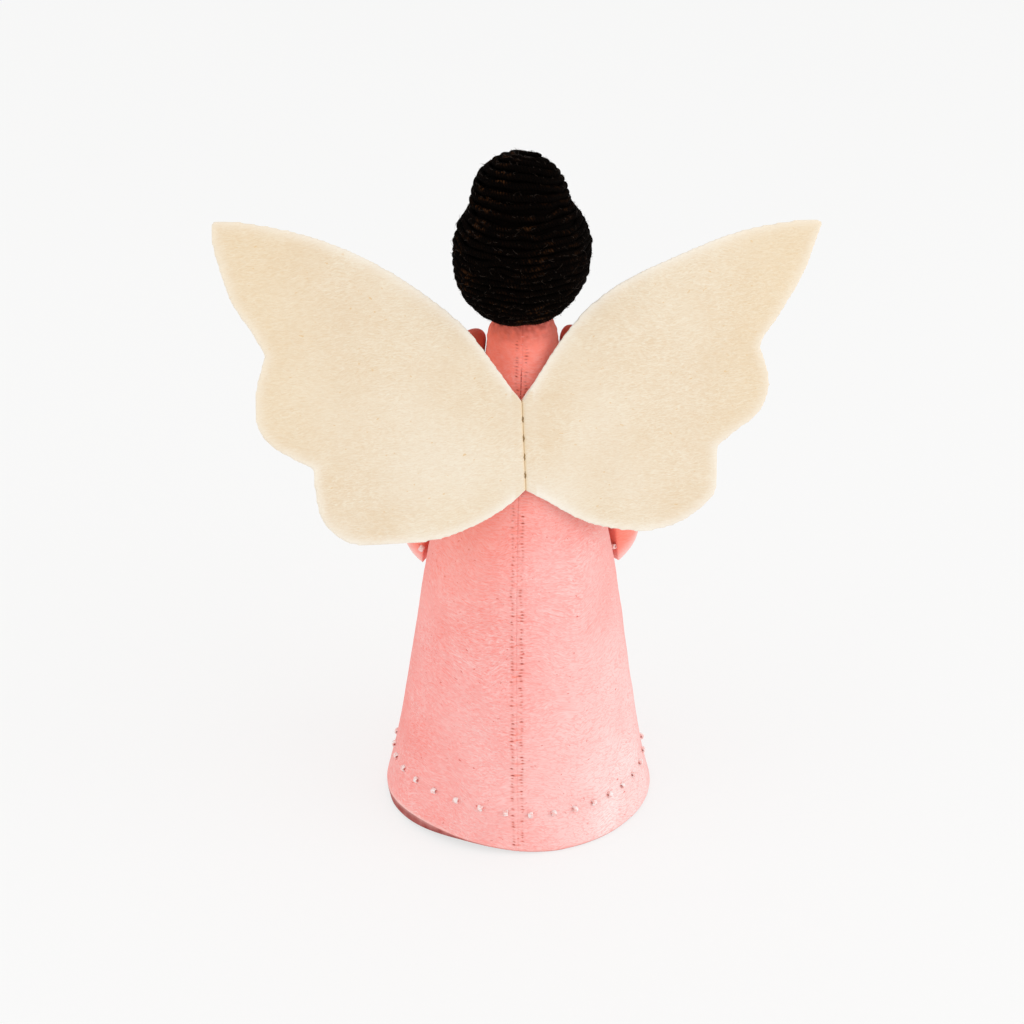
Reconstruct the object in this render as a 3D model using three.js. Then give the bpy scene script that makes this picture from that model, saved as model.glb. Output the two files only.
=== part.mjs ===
// A felt angel that stands on a table or slips over the tip of a tree.
// The dress is a hollow cone of thick felt, sewn up the back. It carries a wool ball head with
// wound yarn hair and a bun, two flat felt wings sewn down the back, and two bell sleeves with arms.
// Millimetres, +Z up, the face looks along -Y and +X is the angel's own left.
// The origin is on the table, at the middle of the hem.

import * as THREE from "three";

// What every piece shares
const gap = 0.3; // between pieces that lie against each other
const threadSides = 4;

// Dress: profile shares are [share of the height, share of the hem's radius]
const hemRadius = 44;
const dressHeight = 170;
const dressFelt = 2.6;
const hemLift = 3.3; // the back left of the hem curls up off the table
const hemLiftReach = 45; // the curl dies out at this height
const hemLiftMiddleAngle = 50; // degrees round from +X
const hemLiftSpreadAngle = 60; // degrees to either side
const dressProfileShares = [
  [0, 1], [0.0906, 0.9125], [0.2265, 0.825], [0.388, 0.74], [0.55, 0.6325],
  [0.712, 0.4525], [0.8735, 0.2825], [0.941, 0.245], [0.96, 0.231], [0.976, 0.205], [1, 0.18],
];
const dressSides = 48;
const dressRingsPerShare = 2;

// Back seam: a zigzag of thread over the butted edges of the dress
const seamHalfWidth = 1.8;
const seamPitch = 2;
const seamThreadRadius = 0.22;
const seamFoot = 2; // its lowest stitch above the hem
const seamHead = 4; // its highest stitch below the neck edge

// Beads above the hem, sewn on by eye
const beadCount = 33;
const beadRadius = 1.1;
const beadHoleRadius = 0.35;
const beadLength = 1.7;
const beadSides = 8;
const beadWallSides = 4;
const beadHeight = 12.9;
const beadStartAngle = 92; // degrees round from +X
const beadWanderAngle = 3.4; // degrees that the spacing drifts by, twice round

// Wings: outline shares are [share of the reach, share of the height], from the seam outwards
const wingReach = 92;
const wingHeight = 80;
const wingFelt = 2.6;
const wingSeamFoot = 119.3; // where the seam starts on the back of the dress
const wingSeamLength = 28.5;
const wingSeamAside = 0.7; // the seam is sewn this far to the angel's right
const wingButt = 1.1; // between the two wings at the seam
const wingStandoff = 1.4; // from the dress to the wings along the seam
const wingTurnAngle = 14; // degrees that both wings are turned about the seam
const leftWingShares = {
  top: [[0.156, 0.586], [0.314, 0.746], [0.507, 0.887], [0.696, 0.978], [0.884, 1.028]],
  tip: [1.002, 1.04],
  outer: [[1.004, 0.949], [0.959, 0.769], [0.926, 0.696], [0.883, 0.622]],
  upperNotch: [0.847, 0.544],
  lobe: [[0.873, 0.439], [0.878, 0.376], [0.875, 0.291], [0.835, 0.215], [0.765, 0.16]],
  lowerNotch: [0.695, 0.118],
  bottom: [
    [0.69, 0.021], [0.661, -0.094], [0.567, -0.176], [0.413, -0.184], [0.252, -0.165], [0.1, -0.09],
  ],
};
const rightWingShares = {
  top: [[0.166, 0.635], [0.315, 0.78], [0.516, 0.883], [0.72, 0.965], [0.926, 1.002]],
  tip: [1.01, 0.997],
  outer: [[0.995, 0.94], [0.947, 0.789], [0.868, 0.639], [0.821, 0.564]],
  upperNotch: [0.805, 0.52],
  lobe: [[0.828, 0.448], [0.841, 0.374], [0.828, 0.31], [0.795, 0.25], [0.735, 0.2]],
  lowerNotch: [0.664, 0.135],
  bottom: [
    [0.667, -0.012], [0.628, -0.088], [0.521, -0.161], [0.389, -0.18], [0.213, -0.136], [0.069, -0.047],
  ],
};
const wingStepsPerPoint = 3;

// Wing seam: a running stitch through the gap between the wings
const stitchThreadRadius = 0.22;
const stitchCount = 4;
const stitchInset = 2; // from each end of the seam to the first stitch
const stitchDashShare = 0.5; // share of each stitch that lies outside
const stitchDepth = 0.3; // below the wings' outer face

// Head: a felted wool ball with a neck that plugs the top of the dress
const headRadius = 18.7;
const neckLength = 14;
const headSides = 28;

// Yarn and the hair wound from it: rows run round the head from the nape up to the bun
const yarnRadius = 0.95;
const stepsPerLoop = 24;
const yarnSides = 6;
const partWrapCount = 11; // rows that turn back at the temples
const wholeLoopCount = 3; // loops above the forehead that go all the way round
const napeAngle = 150; // degrees down from the crown
const crownAngle = 51;
const napeOpeningAngle = 100; // degrees that the lowest row stays back from the middle of the face
const faceCurve = 0.55; // how round the hairline is
const faceClosing = 0.8; // rows above the last turn at which the hairline would meet
const turnBackShares = [0.25, 0.5, 0.75]; // places round a half circle up to the next row
const climbShare = 0.5; // share of a loop in which it climbs to the next one
const yarnEndLean = 0.5; // how far the yarn's ends turn off their row
const leastYarnGap = 0.4;
const stepsBesideYarn = 5; // steps along the yarn that count as its own neighbours

// Bun: a plain wool core with yarn wound up it, on from the last loop of the hair.
// Profile shares are [share of the height, share of that loop's radius]
const bunHeight = 17.4; // from the last loop of the hair to the bun's top loop
const bunLoopCount = 9;
const bunProfileShares = [[0, 1], [0.13, 0.93], [0.42, 0.85], [0.7, 0.7], [0.88, 0.5], [1, 0.2]];
const bunCoreShares = [0.16, 0.35, 0.55, 0.75, 0.9, 1]; // places up the outline that the core follows
const bunSeatShares = [0, 0.25, 0.5, 0.75, 1]; // places across the core's seat on the head
const bunSides = 24;

// Face: two bead eyes and a stitched smile
const eyeRadius = 1.2;
const eyeSides = 10;
const eyeRings = 6;
const eyeTurnAngle = 19; // degrees to either side of the middle
const eyeRiseAngle = -3; // degrees above the middle of the head
const smileRadius = 0.35;
const smileTurnAngle = 11;
const smileDropAngle = 24; // degrees below the middle of the head, at the smile's ends
const smileSagAngle = 4;
const smileSteps = 8;
const smileSides = 6;

// Sleeves: half depths are away from the dress, half widths are along it
const shoulderHeight = 157;
const shoulderCap = 5.8; // from the top of the sleeve's side to the tip of its cap
const shoulderHalfDepth = 4.2;
const shoulderHalfWidth = 4.6;
const shoulderTurnAngle = 8; // degrees forward from the side
const cuffHeight = 85;
const cuffHalfDepth = 6;
const cuffHalfWidth = 9;
const cuffTurnAngle = 32;
const cuffSlope = 8; // the rim's back corner hangs this far below its middle, the front one above
const cuffLift = 5; // the rim's outer side stands this far above its middle
const cuffLean = 3.5; // the rim's back corner lies this much nearer the dress than its middle
const cuffCorner = 2; // the rim's outer side is drawn out this far to a corner
const cuffFlare = 1.3; // how late the sleeve widens
const cuffCornerSharpness = 4; // how late and how narrowly the corner stands out
const sleeveFelt = 2;
const sleeveHollowShare = 0.3; // share of the length, from the shoulder, that is solid
const sleeveSides = 20;
const sleeveRings = 8;
const capRings = 3;
const capTipShare = 0.2; // share of a ring that the cap stops short of its tip

// Arms: wool rolls in the sleeves, with the hands in front
const armRadius = 2.4;
const wristRadius = 2.2;
const palmRadius = 3.3;
const fingertipRadius = 1.6;
const armSleeveShares = [0.36, 0.5, 0.65, 0.8, 0.92]; // places down the sleeve that the roll follows
const handDrop = 5; // the hand is this far below the middle of the cuff's rim
const handStandoff = 4.6; // from the dress to the middle of the hand
const wristHeight = 2.5; // the wrist is this far above the hand
const wristTurnAngle = 43; // degrees forward from the side
const palmTurnAngle = 58;
const fingertipTurnAngle = 72;
const armSides = 10;
const ringsPerArmPlace = 3;

// Beads sewn round each cuff
const cuffBeadCount = 5;
const cuffBeadHeight = 5; // above the rim
const cuffBeadRadius = 1.1;
const cuffThreadRadius = 0.25;
const cuffBeadSides = 6;
const cuffBeadsFromAngle = -28; // degrees round the cuff from its back corner
const cuffBeadsToAngle = 190;
const cuffBeadPlaceShares = [-0.36, -0.22, 0, 0.22, 0.36]; // places along one bead's stretch of thread
const cuffBeadSwellShares = [0, 0.8, 1, 0.8, 0]; // how far each swells from the thread to the bead

// Colours and surfaces
const finishes = {
  pinkFelt: { color: 0xfab0a8, roughness: 0.95 },
  creamFelt: { color: 0xf1e3cc, roughness: 0.95 },
  darkYarn: { color: 0x21140e, roughness: 0.9 },
  skinWool: { color: 0xdba585, roughness: 0.95 },
  pinkThread: { color: 0xe58f86, roughness: 0.7 },
  goldenThread: { color: 0x9a7a45, roughness: 0.7 },
  clearGlass: { color: 0xf4efec, roughness: 0.08 },
  blackBead: { color: 0x0c0b0c, roughness: 0.15 },
  redThread: { color: 0xa8403c, roughness: 0.7 },
};

const cornersPerFace = 3;
const angel = new THREE.Group();

function radians(degrees) {
  return THREE.MathUtils.degToRad(degrees);
}

function between(from, to, share) {
  return THREE.MathUtils.lerp(from, to, share);
}

// A point at a distance from the upright axis, turned round from +X
function roundAxis(distance, turn, height) {
  return new THREE.Vector3(distance * Math.cos(turn), distance * Math.sin(turn), height);
}

function addPiece(name, geometry, finish, parent = angel) {
  const material = new THREE.MeshStandardMaterial({ ...finishes[finish], metalness: 0 });
  const piece = new THREE.Mesh(geometry, material);
  piece.name = name;
  parent.add(piece);
  return piece;
}

function signedVolume(points, faces) {
  const cross = new THREE.Vector3();
  let volume = 0;
  for (let corner = 0; corner < faces.length; corner += cornersPerFace) {
    cross.crossVectors(points[faces[corner + 1]], points[faces[corner + 2]]);
    volume += points[faces[corner]].dot(cross);
  }
  return volume;
}

// A closed skin over rings of points: capped at both ends, or looped from the last to the first
function skin(rings, looped = false) {
  const sides = rings[0].length;
  const points = rings.flat();
  const faces = [];
  const rows = looped ? rings.length : rings.length - 1;
  for (let row = 0; row < rows; row += 1) {
    const here = row * sides;
    const next = ((row + 1) % rings.length) * sides;
    for (let side = 0; side < sides; side += 1) {
      const beside = (side + 1) % sides;
      faces.push(here + side, here + beside, next + beside);
      faces.push(here + side, next + beside, next + side);
    }
  }
  if (!looped) {
    capRing(points, faces, rings[0], 0, true);
    capRing(points, faces, rings.at(-1), (rings.length - 1) * sides, false);
  }
  if (signedVolume(points, faces) < 0) {
    faces.reverse();
  }
  const geometry = new THREE.BufferGeometry().setFromPoints(points);
  geometry.setIndex(faces);
  geometry.computeVertexNormals();
  return geometry;
}

function capRing(points, faces, ring, start, isFirst) {
  const middle = points.length;
  const centre = new THREE.Vector3();
  ring.forEach((point) => centre.add(point));
  points.push(centre.divideScalar(ring.length));
  for (let side = 0; side < ring.length; side += 1) {
    const here = start + side;
    const beside = start + ((side + 1) % ring.length);
    faces.push(...(isFirst ? [middle, beside, here] : [middle, here, beside]));
  }
}

// A round tube along a path. awayFrom gives, for a point, the direction its first side faces
function tube(path, radiusAt, sides, awayFrom) {
  const rings = path.map((point, index) => {
    const before = path[Math.max(index - 1, 0)];
    const after = path[Math.min(index + 1, path.length - 1)];
    const along = after.clone().sub(before).normalize();
    const across = new THREE.Vector3().crossVectors(along, awayFrom(point, index)).normalize();
    const out = new THREE.Vector3().crossVectors(across, along);
    const ring = [];
    for (let side = 0; side < sides; side += 1) {
      const turn = (2 * Math.PI * side) / sides;
      const radius = radiusAt(index);
      ring.push(
        point.clone()
          .addScaledVector(out, radius * Math.cos(turn))
          .addScaledVector(across, radius * Math.sin(turn)),
      );
    }
    return ring;
  });
  return skin(rings);
}

// Dress

const dressProfile = new THREE.SplineCurve(
  dressProfileShares.map(([up, out]) => new THREE.Vector2(out * hemRadius, up * dressHeight)),
).getPoints(dressRingsPerShare * (dressProfileShares.length - 1));

function dressRadius(height) {
  const above = dressProfile.findIndex((point) => point.y >= height);
  if (above < 1) {
    return dressProfile.at(above).x;
  }
  const low = dressProfile[above - 1];
  const high = dressProfile[above];
  return between(low.x, high.x, (height - low.y) / (high.y - low.y));
}

function hemLiftAt(turn, height) {
  const offMiddle = Math.abs(turn - radians(hemLiftMiddleAngle)) / radians(hemLiftSpreadAngle);
  const round = offMiddle < 1 ? Math.cos((Math.PI / 2) * offMiddle) ** 2 : 0;
  return hemLift * round * Math.max(0, 1 - height / hemLiftReach);
}

function dressRing(radius, height) {
  const ring = [];
  for (let side = 0; side < dressSides; side += 1) {
    const turn = (2 * Math.PI * side) / dressSides;
    ring.push(roundAxis(radius, turn, height + hemLiftAt(turn, height)));
  }
  return ring;
}

function makeDress() {
  const outside = dressProfile.map((point) => dressRing(point.x, point.y));
  const inside = dressProfile
    .filter((point, index) => index % dressRingsPerShare === 0)
    .map((point) => dressRing(point.x - dressFelt, point.y));
  addPiece("dress_cone", skin([...outside, ...inside.reverse()], true), "pinkFelt");
}

// The zigzag lies on the back of the dress, turned 90 degrees from +X
function makeBackSeam() {
  const seamTop = dressHeight - seamHead;
  const stitches = Math.floor((seamTop - seamFoot) / seamPitch) * 2;
  const path = [];
  for (let stitch = 0; stitch <= stitches; stitch += 1) {
    const height = seamFoot + (stitch * seamPitch) / 2;
    const lift = hemLiftAt(Math.PI / 2, height);
    const away = dressRadius(height) + gap + seamThreadRadius;
    const aside = stitch % 2 === 0 ? seamHalfWidth : -seamHalfWidth;
    path.push(new THREE.Vector3(aside, Math.sqrt(away ** 2 - aside ** 2), height + lift));
  }
  const outwards = new THREE.Vector3(0, 1, 0);
  const thread = tube(path, () => seamThreadRadius, threadSides, () => outwards);
  addPiece("back_seam_thread", thread, "pinkThread");
}

function beadGeometry(radius) {
  const wall = (radius - beadHoleRadius) / 2;
  const bead = new THREE.TorusGeometry(beadHoleRadius + wall, wall, beadWallSides, beadSides);
  bead.scale(1, 1, beadLength / (2 * wall));
  return bead.rotateX(-Math.PI / 2);
}

function makeHemBeads() {
  for (let count = 0; count < beadCount; count += 1) {
    const even = radians(beadStartAngle + (360 * count) / beadCount);
    const turn = even + radians(beadWanderAngle) * Math.sin(2 * even - Math.PI / 2);
    const wrapped = turn > Math.PI ? turn - 2 * Math.PI : turn;
    const lift = hemLiftAt(wrapped, beadHeight);
    const name = `hem_bead_${String(count + 1).padStart(2, "0")}`;
    const bead = addPiece(name, beadGeometry(beadRadius), "clearGlass");
    bead.position.copy(roundAxis(dressRadius(beadHeight) + gap + beadRadius, turn, beadHeight + lift));
    bead.rotation.z = turn;
  }
}

// Wings

const wingSeamHead = wingSeamFoot + wingSeamLength;
const wingLean = Math.atan2(dressRadius(wingSeamFoot) - dressRadius(wingSeamHead), wingSeamLength);

// The group's Y runs up the seam and its Z runs in towards the dress from the wings' outer face
function makeSeamFrame() {
  const frame = new THREE.Group();
  const off = wingStandoff + wingFelt;
  frame.position.set(
    -wingSeamAside,
    dressRadius(wingSeamFoot) + off * Math.cos(wingLean),
    wingSeamFoot + off * Math.sin(wingLean),
  );
  frame.rotation.set(Math.PI / 2 + wingLean, radians(wingTurnAngle), 0);
  angel.add(frame);
  return frame;
}

function wingGeometry(shares, side) {
  const place = ([out, up]) => new THREE.Vector2(side * out * wingReach, up * wingHeight);
  const innerEdge = (side * wingButt) / 2;
  const outline = new THREE.Shape();
  outline.moveTo(innerEdge, 0);
  outline.lineTo(innerEdge, wingSeamLength);
  outline.splineThru([...shares.top, shares.tip].map(place));
  outline.splineThru([...shares.outer, shares.upperNotch].map(place));
  outline.splineThru([...shares.lobe, shares.lowerNotch].map(place));
  outline.splineThru([...shares.bottom.map(place), new THREE.Vector2(innerEdge, 0)]);
  return new THREE.ExtrudeGeometry(outline, {
    depth: wingFelt,
    bevelEnabled: false,
    curveSegments: wingStepsPerPoint,
  });
}

function makeWings() {
  const frame = makeSeamFrame();
  addPiece("wing_left", wingGeometry(leftWingShares, 1), "creamFelt", frame);
  addPiece("wing_right", wingGeometry(rightWingShares, -1), "creamFelt", frame);
  const run = wingSeamLength - 2 * stitchInset;
  const pitch = run / (stitchCount - 1 + stitchDashShare);
  const path = [];
  for (let stitch = 0; stitch < stitchCount; stitch += 1) {
    const low = stitchInset + stitch * pitch;
    const high = low + pitch * stitchDashShare;
    path.push(new THREE.Vector3(0, low, wingFelt));
    path.push(new THREE.Vector3(0, low, stitchDepth));
    path.push(new THREE.Vector3(0, high, stitchDepth));
    path.push(new THREE.Vector3(0, high, wingFelt));
  }
  const sideways = new THREE.Vector3(1, 0, 0);
  const thread = tube(path, () => stitchThreadRadius, threadSides, () => sideways);
  addPiece("wing_seam_thread", thread, "goldenThread", frame);
}

// Head and hair

const neckRadius = dressRadius(dressHeight) - dressFelt - gap;
const headRest = dressRadius(dressHeight) - dressFelt;
const headHeight = dressHeight + gap + Math.sqrt(headRadius ** 2 - headRest ** 2);
const headMiddle = new THREE.Vector3(0, 0, headHeight);

// A point on a ball round the head: down is measured from the crown, turn round from +X
function roundHead(distance, down, turn) {
  return roundAxis(distance * Math.sin(down), turn, headHeight + distance * Math.cos(down));
}

function makeHead() {
  const neckDown = Math.asin(neckRadius / headRadius);
  const rows = headSides / 2;
  const profile = [new THREE.Vector2(0, dressHeight - neckLength)];
  profile.push(new THREE.Vector2(neckRadius, dressHeight - neckLength));
  for (let row = 0; row <= rows; row += 1) {
    const down = between(Math.PI - neckDown, 0, row / rows);
    const out = row === rows ? 0 : headRadius * Math.sin(down);
    profile.push(new THREE.Vector2(out, headHeight + headRadius * Math.cos(down)));
  }
  const head = new THREE.LatheGeometry(profile, headSides).rotateX(Math.PI / 2);
  addPiece("head_ball", head, "skinWool");
}

// The least distance between the skins of two turns of a tube, measured on its middle points
function leastSelfGap(path, radius) {
  let least = Infinity;
  for (let first = 0; first < path.length; first += 1) {
    for (let second = first + stepsBesideYarn; second < path.length; second += 1) {
      least = Math.min(least, path[first].distanceTo(path[second]) - 2 * radius);
    }
  }
  return least;
}

function reportGap(name, path) {
  const least = leastSelfGap(path, yarnRadius);
  const verdict = least > leastYarnGap ? "clear" : "too close";
  console.log(`${name}: least gap to itself ${least.toFixed(2)} mm, ${verdict}`);
}

// Runs a path's ends straight for one thickness of the yarn, leaning off their row
function straightenEnds(path, startLean, endLean) {
  const stretch = (end, before, lean) => {
    const along = end.clone().sub(before).normalize();
    return along.addScaledVector(lean, yarnEndLean).setLength(2 * yarnRadius).add(end);
  };
  const start = stretch(path[0], path[1], startLean);
  const end = stretch(path.at(-1), path.at(-2), endLean);
  return [start, ...path, end];
}

const hairDistance = headRadius + gap + yarnRadius;
const hairPitch = radians(napeAngle - crownAngle) / (partWrapCount + wholeLoopCount);
const hairlineTop = radians(napeAngle) - (partWrapCount - 0.5 + faceClosing) * hairPitch;
const backOfHead = Math.PI / 2;

function hairDown(row) {
  return radians(napeAngle) - row * hairPitch;
}

// How far to either side of the back a row reaches, where it turns up to the next one
function sweepAfter(row) {
  const down = hairDown(row + 0.5);
  const share = THREE.MathUtils.inverseLerp(hairlineTop, radians(napeAngle), down);
  return Math.PI - radians(napeOpeningAngle) * Math.max(share, 0) ** faceCurve;
}

// The rows go round one way and back by turns, and the loops go on from the last row
const hairEndWay = partWrapCount % 2 === 0 ? 1 : -1;
const hairEndTurn = backOfHead + hairEndWay * (2 * Math.PI * wholeLoopCount - sweepAfter(partWrapCount - 1));

function makeHair() {
  const path = [];
  let way = 1;
  for (let row = 0; row < partWrapCount; row += 1) {
    const from = -sweepAfter(row - 1);
    const to = sweepAfter(row);
    const steps = Math.ceil((stepsPerLoop * (to - from)) / (2 * Math.PI));
    for (let step = 0; step <= steps; step += 1) {
      const turn = backOfHead + way * between(from, to, step / steps);
      path.push(roundHead(hairDistance, hairDown(row), turn));
    }
    path.push(...turnBack(row, backOfHead + way * to, way));
    way = -way;
  }
  path.push(...wholeLoops(-sweepAfter(partWrapCount - 1), way));
  const down = new THREE.Vector3(0, 0, -1);
  const whole = straightenEnds(path, down, new THREE.Vector3());
  reportGap("hair", whole);
  const outwards = (point) => point.clone().sub(headMiddle);
  addPiece("hair_winding", tube(whole, () => yarnRadius, yarnSides, outwards), "darkYarn");
}

// The half circle that takes the yarn up to the next row at a temple
function turnBack(row, turn, way) {
  return turnBackShares.map((share) => {
    const reach = (hairPitch / 2) * Math.sin(Math.PI * share);
    const up = (1 - Math.cos(Math.PI * share)) / 2;
    const down = hairDown(row + up);
    return roundHead(hairDistance, down, turn + (way * reach) / Math.sin(down));
  });
}

// How many loops up the yarn is: it runs level round the back and climbs over the forehead
function loopsUp(loop) {
  const whole = Math.floor(loop);
  return whole + THREE.MathUtils.smoothstep(loop - whole, 1 - climbShare, 1);
}

function wholeLoops(from, way) {
  const loops = [];
  const steps = stepsPerLoop * wholeLoopCount;
  for (let step = 0; step <= steps; step += 1) {
    const loop = step / stepsPerLoop;
    const turn = backOfHead + way * (from + 2 * Math.PI * loop);
    loops.push(roundHead(hairDistance, hairDown(partWrapCount + loopsUp(loop)), turn));
  }
  return loops;
}

// Bun

const bunFootRadius = hairDistance * Math.sin(radians(crownAngle));
const bunFootHeight = headHeight + hairDistance * Math.cos(radians(crownAngle));
const bunProfile = new THREE.SplineCurve(
  bunProfileShares.map(([up, out]) => new THREE.Vector2(out * bunFootRadius, up * bunHeight)),
);

// A point of the bun's outline, moved in off the yarn's middle by a distance
function bunPlace(share, inset) {
  const place = bunProfile.getPointAt(share);
  const along = bunProfile.getTangentAt(share);
  const height = bunFootHeight + place.y - inset * Math.abs(along.x);
  return new THREE.Vector2(place.x - inset * along.y, height);
}

function makeBunCore() {
  const inset = yarnRadius + gap;
  const ball = headRadius + gap;
  const footDown = Math.asin(bunPlace(bunCoreShares[0], inset).x / ball);
  const profile = bunSeatShares.map((share) => {
    const down = footDown * share;
    return new THREE.Vector2(ball * Math.sin(down), headHeight + ball * Math.cos(down));
  });
  profile.push(...bunCoreShares.map((share) => bunPlace(share, inset)));
  profile.push(new THREE.Vector2(0, profile.at(-1).y));
  const core = new THREE.LatheGeometry(profile, bunSides).rotateX(Math.PI / 2);
  addPiece("bun_core", core, "darkYarn");
}

// The yarn starts face to face with the end of the hair, past both straight ends
function makeBunWinding() {
  const start = hairEndTurn + hairEndWay * (4 * yarnRadius + gap) / bunFootRadius;
  const path = [];
  const steps = stepsPerLoop * bunLoopCount;
  for (let step = 0; step <= steps; step += 1) {
    const loop = step / stepsPerLoop;
    const place = bunPlace(loopsUp(loop) / bunLoopCount, 0);
    const turn = start + hairEndWay * 2 * Math.PI * loop;
    path.push(roundAxis(place.x, turn, place.y));
  }
  const inwards = path.at(-1).clone().setZ(0).normalize().negate();
  const whole = straightenEnds(path, new THREE.Vector3(), inwards);
  reportGap("bun", whole);
  const outwards = (point) => point.clone().sub(headMiddle);
  addPiece("bun_winding", tube(whole, () => yarnRadius, yarnSides, outwards), "darkYarn");
}

// Face

const frontOfHead = -Math.PI / 2;

function makeFace() {
  for (const [name, side] of [["eye_left", 1], ["eye_right", -1]]) {
    const eye = addPiece(name, new THREE.SphereGeometry(eyeRadius, eyeSides, eyeRings), "blackBead");
    const down = Math.PI / 2 - radians(eyeRiseAngle);
    const turn = frontOfHead + side * radians(eyeTurnAngle);
    eye.position.copy(roundHead(headRadius + gap + eyeRadius, down, turn));
  }
  const path = [];
  for (let step = 0; step <= smileSteps; step += 1) {
    const aside = between(-1, 1, step / smileSteps);
    const down = Math.PI / 2 + radians(smileDropAngle + smileSagAngle * (1 - aside ** 2));
    const turn = frontOfHead + radians(smileTurnAngle) * aside;
    path.push(roundHead(headRadius + gap + smileRadius, down, turn));
  }
  const outwards = (point) => point.clone().sub(headMiddle);
  addPiece("mouth_stitch", tube(path, () => smileRadius, smileSides, outwards), "redThread");
}

// Sleeves and arms: side is 1 on the angel's left and -1 on its right

function alongSleeve(share) {
  const flare = share ** cuffFlare;
  return {
    height: between(shoulderHeight, cuffHeight, share),
    turn: radians(between(shoulderTurnAngle, cuffTurnAngle, share)),
    halfDepth: between(shoulderHalfDepth, cuffHalfDepth, flare),
    halfWidth: between(shoulderHalfWidth, cuffHalfWidth, flare),
    slope: cuffSlope * share ** 2,
    lift: cuffLift * share ** 2,
    lean: cuffLean * share ** 2,
    corner: cuffCorner * share ** cuffCornerSharpness,
  };
}

// A point on the sleeve's section: round is 0 at its back edge and a quarter turn on, outside.
// The side that faces the dress lies along it
function onSleeve(section, round, inset, side) {
  const height = section.height - section.slope * Math.cos(round) + section.lift * Math.sin(round);
  const surface = dressRadius(height) + gap;
  const nearer = section.lean * Math.max(Math.cos(round), 0);
  const further = section.corner * Math.max(Math.sin(round), 0) ** cuffCornerSharpness;
  const bulge = (section.halfDepth - inset) * Math.sin(round) - nearer + further;
  const out = Math.max(surface + section.halfDepth + bulge, surface + inset);
  const back = (section.halfWidth - inset) * Math.cos(round);
  const point = roundAxis(out, back / out - section.turn, height);
  return point.setX(side * point.x);
}

function sleeveRing(section, inset, side) {
  const ring = [];
  for (let step = 0; step < sleeveSides; step += 1) {
    ring.push(onSleeve(section, (2 * Math.PI * step) / sleeveSides, inset, side));
  }
  return ring;
}

// The rounded end of the sleeve, narrowing to a tip above its middle
function shoulderRing(rise, side) {
  const ring = sleeveRing(alongSleeve(0), 0, side);
  const centre = new THREE.Vector3();
  ring.forEach((point) => centre.addScaledVector(point, 1 / ring.length));
  const shift = new THREE.Vector3(0, 0, shoulderCap * Math.sin(rise));
  return ring.map((point) => point.clone().lerp(centre, 1 - Math.cos(rise)).add(shift));
}

function makeSleeve(name, side) {
  const rings = [];
  for (let ring = capRings; ring > 0; ring -= 1) {
    rings.push(shoulderRing(((Math.PI / 2) * (ring - capTipShare)) / capRings, side));
  }
  for (let ring = 0; ring <= sleeveRings; ring += 1) {
    rings.push(sleeveRing(alongSleeve(ring / sleeveRings), 0, side));
  }
  for (let ring = sleeveRings; ring >= 0; ring -= 1) {
    const share = between(sleeveHollowShare, 1, ring / sleeveRings);
    rings.push(sleeveRing(alongSleeve(share), sleeveFelt, side));
  }
  addPiece(name, skin(rings), "pinkFelt");
}

function armPath(side) {
  const places = armSleeveShares.map((share) => {
    const section = alongSleeve(share);
    const middle = dressRadius(section.height) + gap + section.halfDepth;
    return roundAxis(middle, -section.turn, section.height);
  });
  for (const [turn, rise] of [[wristTurnAngle, wristHeight], [palmTurnAngle, 0], [fingertipTurnAngle, 0]]) {
    const height = cuffHeight - handDrop + rise;
    places.push(roundAxis(dressRadius(height) + gap + handStandoff, -radians(turn), height));
  }
  return new THREE.CatmullRomCurve3(places.map((place) => place.setX(side * place.x)));
}

// The roll fills what the sleeve leaves it, then swells from the wrist into a mitten hand
function armRadiusAt(place) {
  const inSleeve = armSleeveShares.map((share) => {
    return Math.min(armRadius, alongSleeve(share).halfDepth - sleeveFelt - gap);
  });
  const radii = [...inSleeve, wristRadius, palmRadius, fingertipRadius];
  const before = Math.min(Math.floor(place), radii.length - 2);
  return between(radii[before], radii[before + 1], place - before);
}

function makeArm(name, side) {
  const curve = armPath(side);
  const path = curve.getPoints(ringsPerArmPlace * (curve.points.length - 1));
  const outwards = (point) => new THREE.Vector3(point.x, point.y, 0);
  const arm = tube(path, (index) => armRadiusAt(index / ringsPerArmPlace), armSides, outwards);
  addPiece(name, arm, "skinWool");
}

// Small beads on one thread, sewn round the outside of a cuff
function makeCuffBeads(name, side) {
  const share = 1 - cuffBeadHeight / (shoulderHeight - cuffHeight);
  const section = alongSleeve(share);
  const away = -(gap + cuffBeadRadius);
  const path = [];
  const radii = [];
  for (let bead = 0; bead < cuffBeadCount; bead += 1) {
    cuffBeadPlaceShares.forEach((offset, index) => {
      const turned = (bead + 0.5 + offset) / cuffBeadCount;
      const round = radians(between(cuffBeadsFromAngle, cuffBeadsToAngle, turned));
      path.push(onSleeve(section, round, away, side));
      radii.push(between(cuffThreadRadius, cuffBeadRadius, cuffBeadSwellShares[index]));
    });
  }
  const outwards = new THREE.Vector3(0, 0, 1);
  addPiece(name, tube(path, (index) => radii[index], cuffBeadSides, () => outwards), "clearGlass");
}

makeDress();
makeBackSeam();
makeHemBeads();
makeWings();
makeHead();
makeHair();
makeBunCore();
makeBunWinding();
makeFace();
for (const [hand, side] of [["left", 1], ["right", -1]]) {
  makeSleeve(`sleeve_${hand}`, side);
  makeArm(`arm_${hand}`, side);
  makeCuffBeads(`cuff_beads_${hand}`, side);
}

export default angel;
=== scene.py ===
import math
import bmesh
import bpy
import numpy as np
from mathutils import Matrix, Vector, noise


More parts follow.
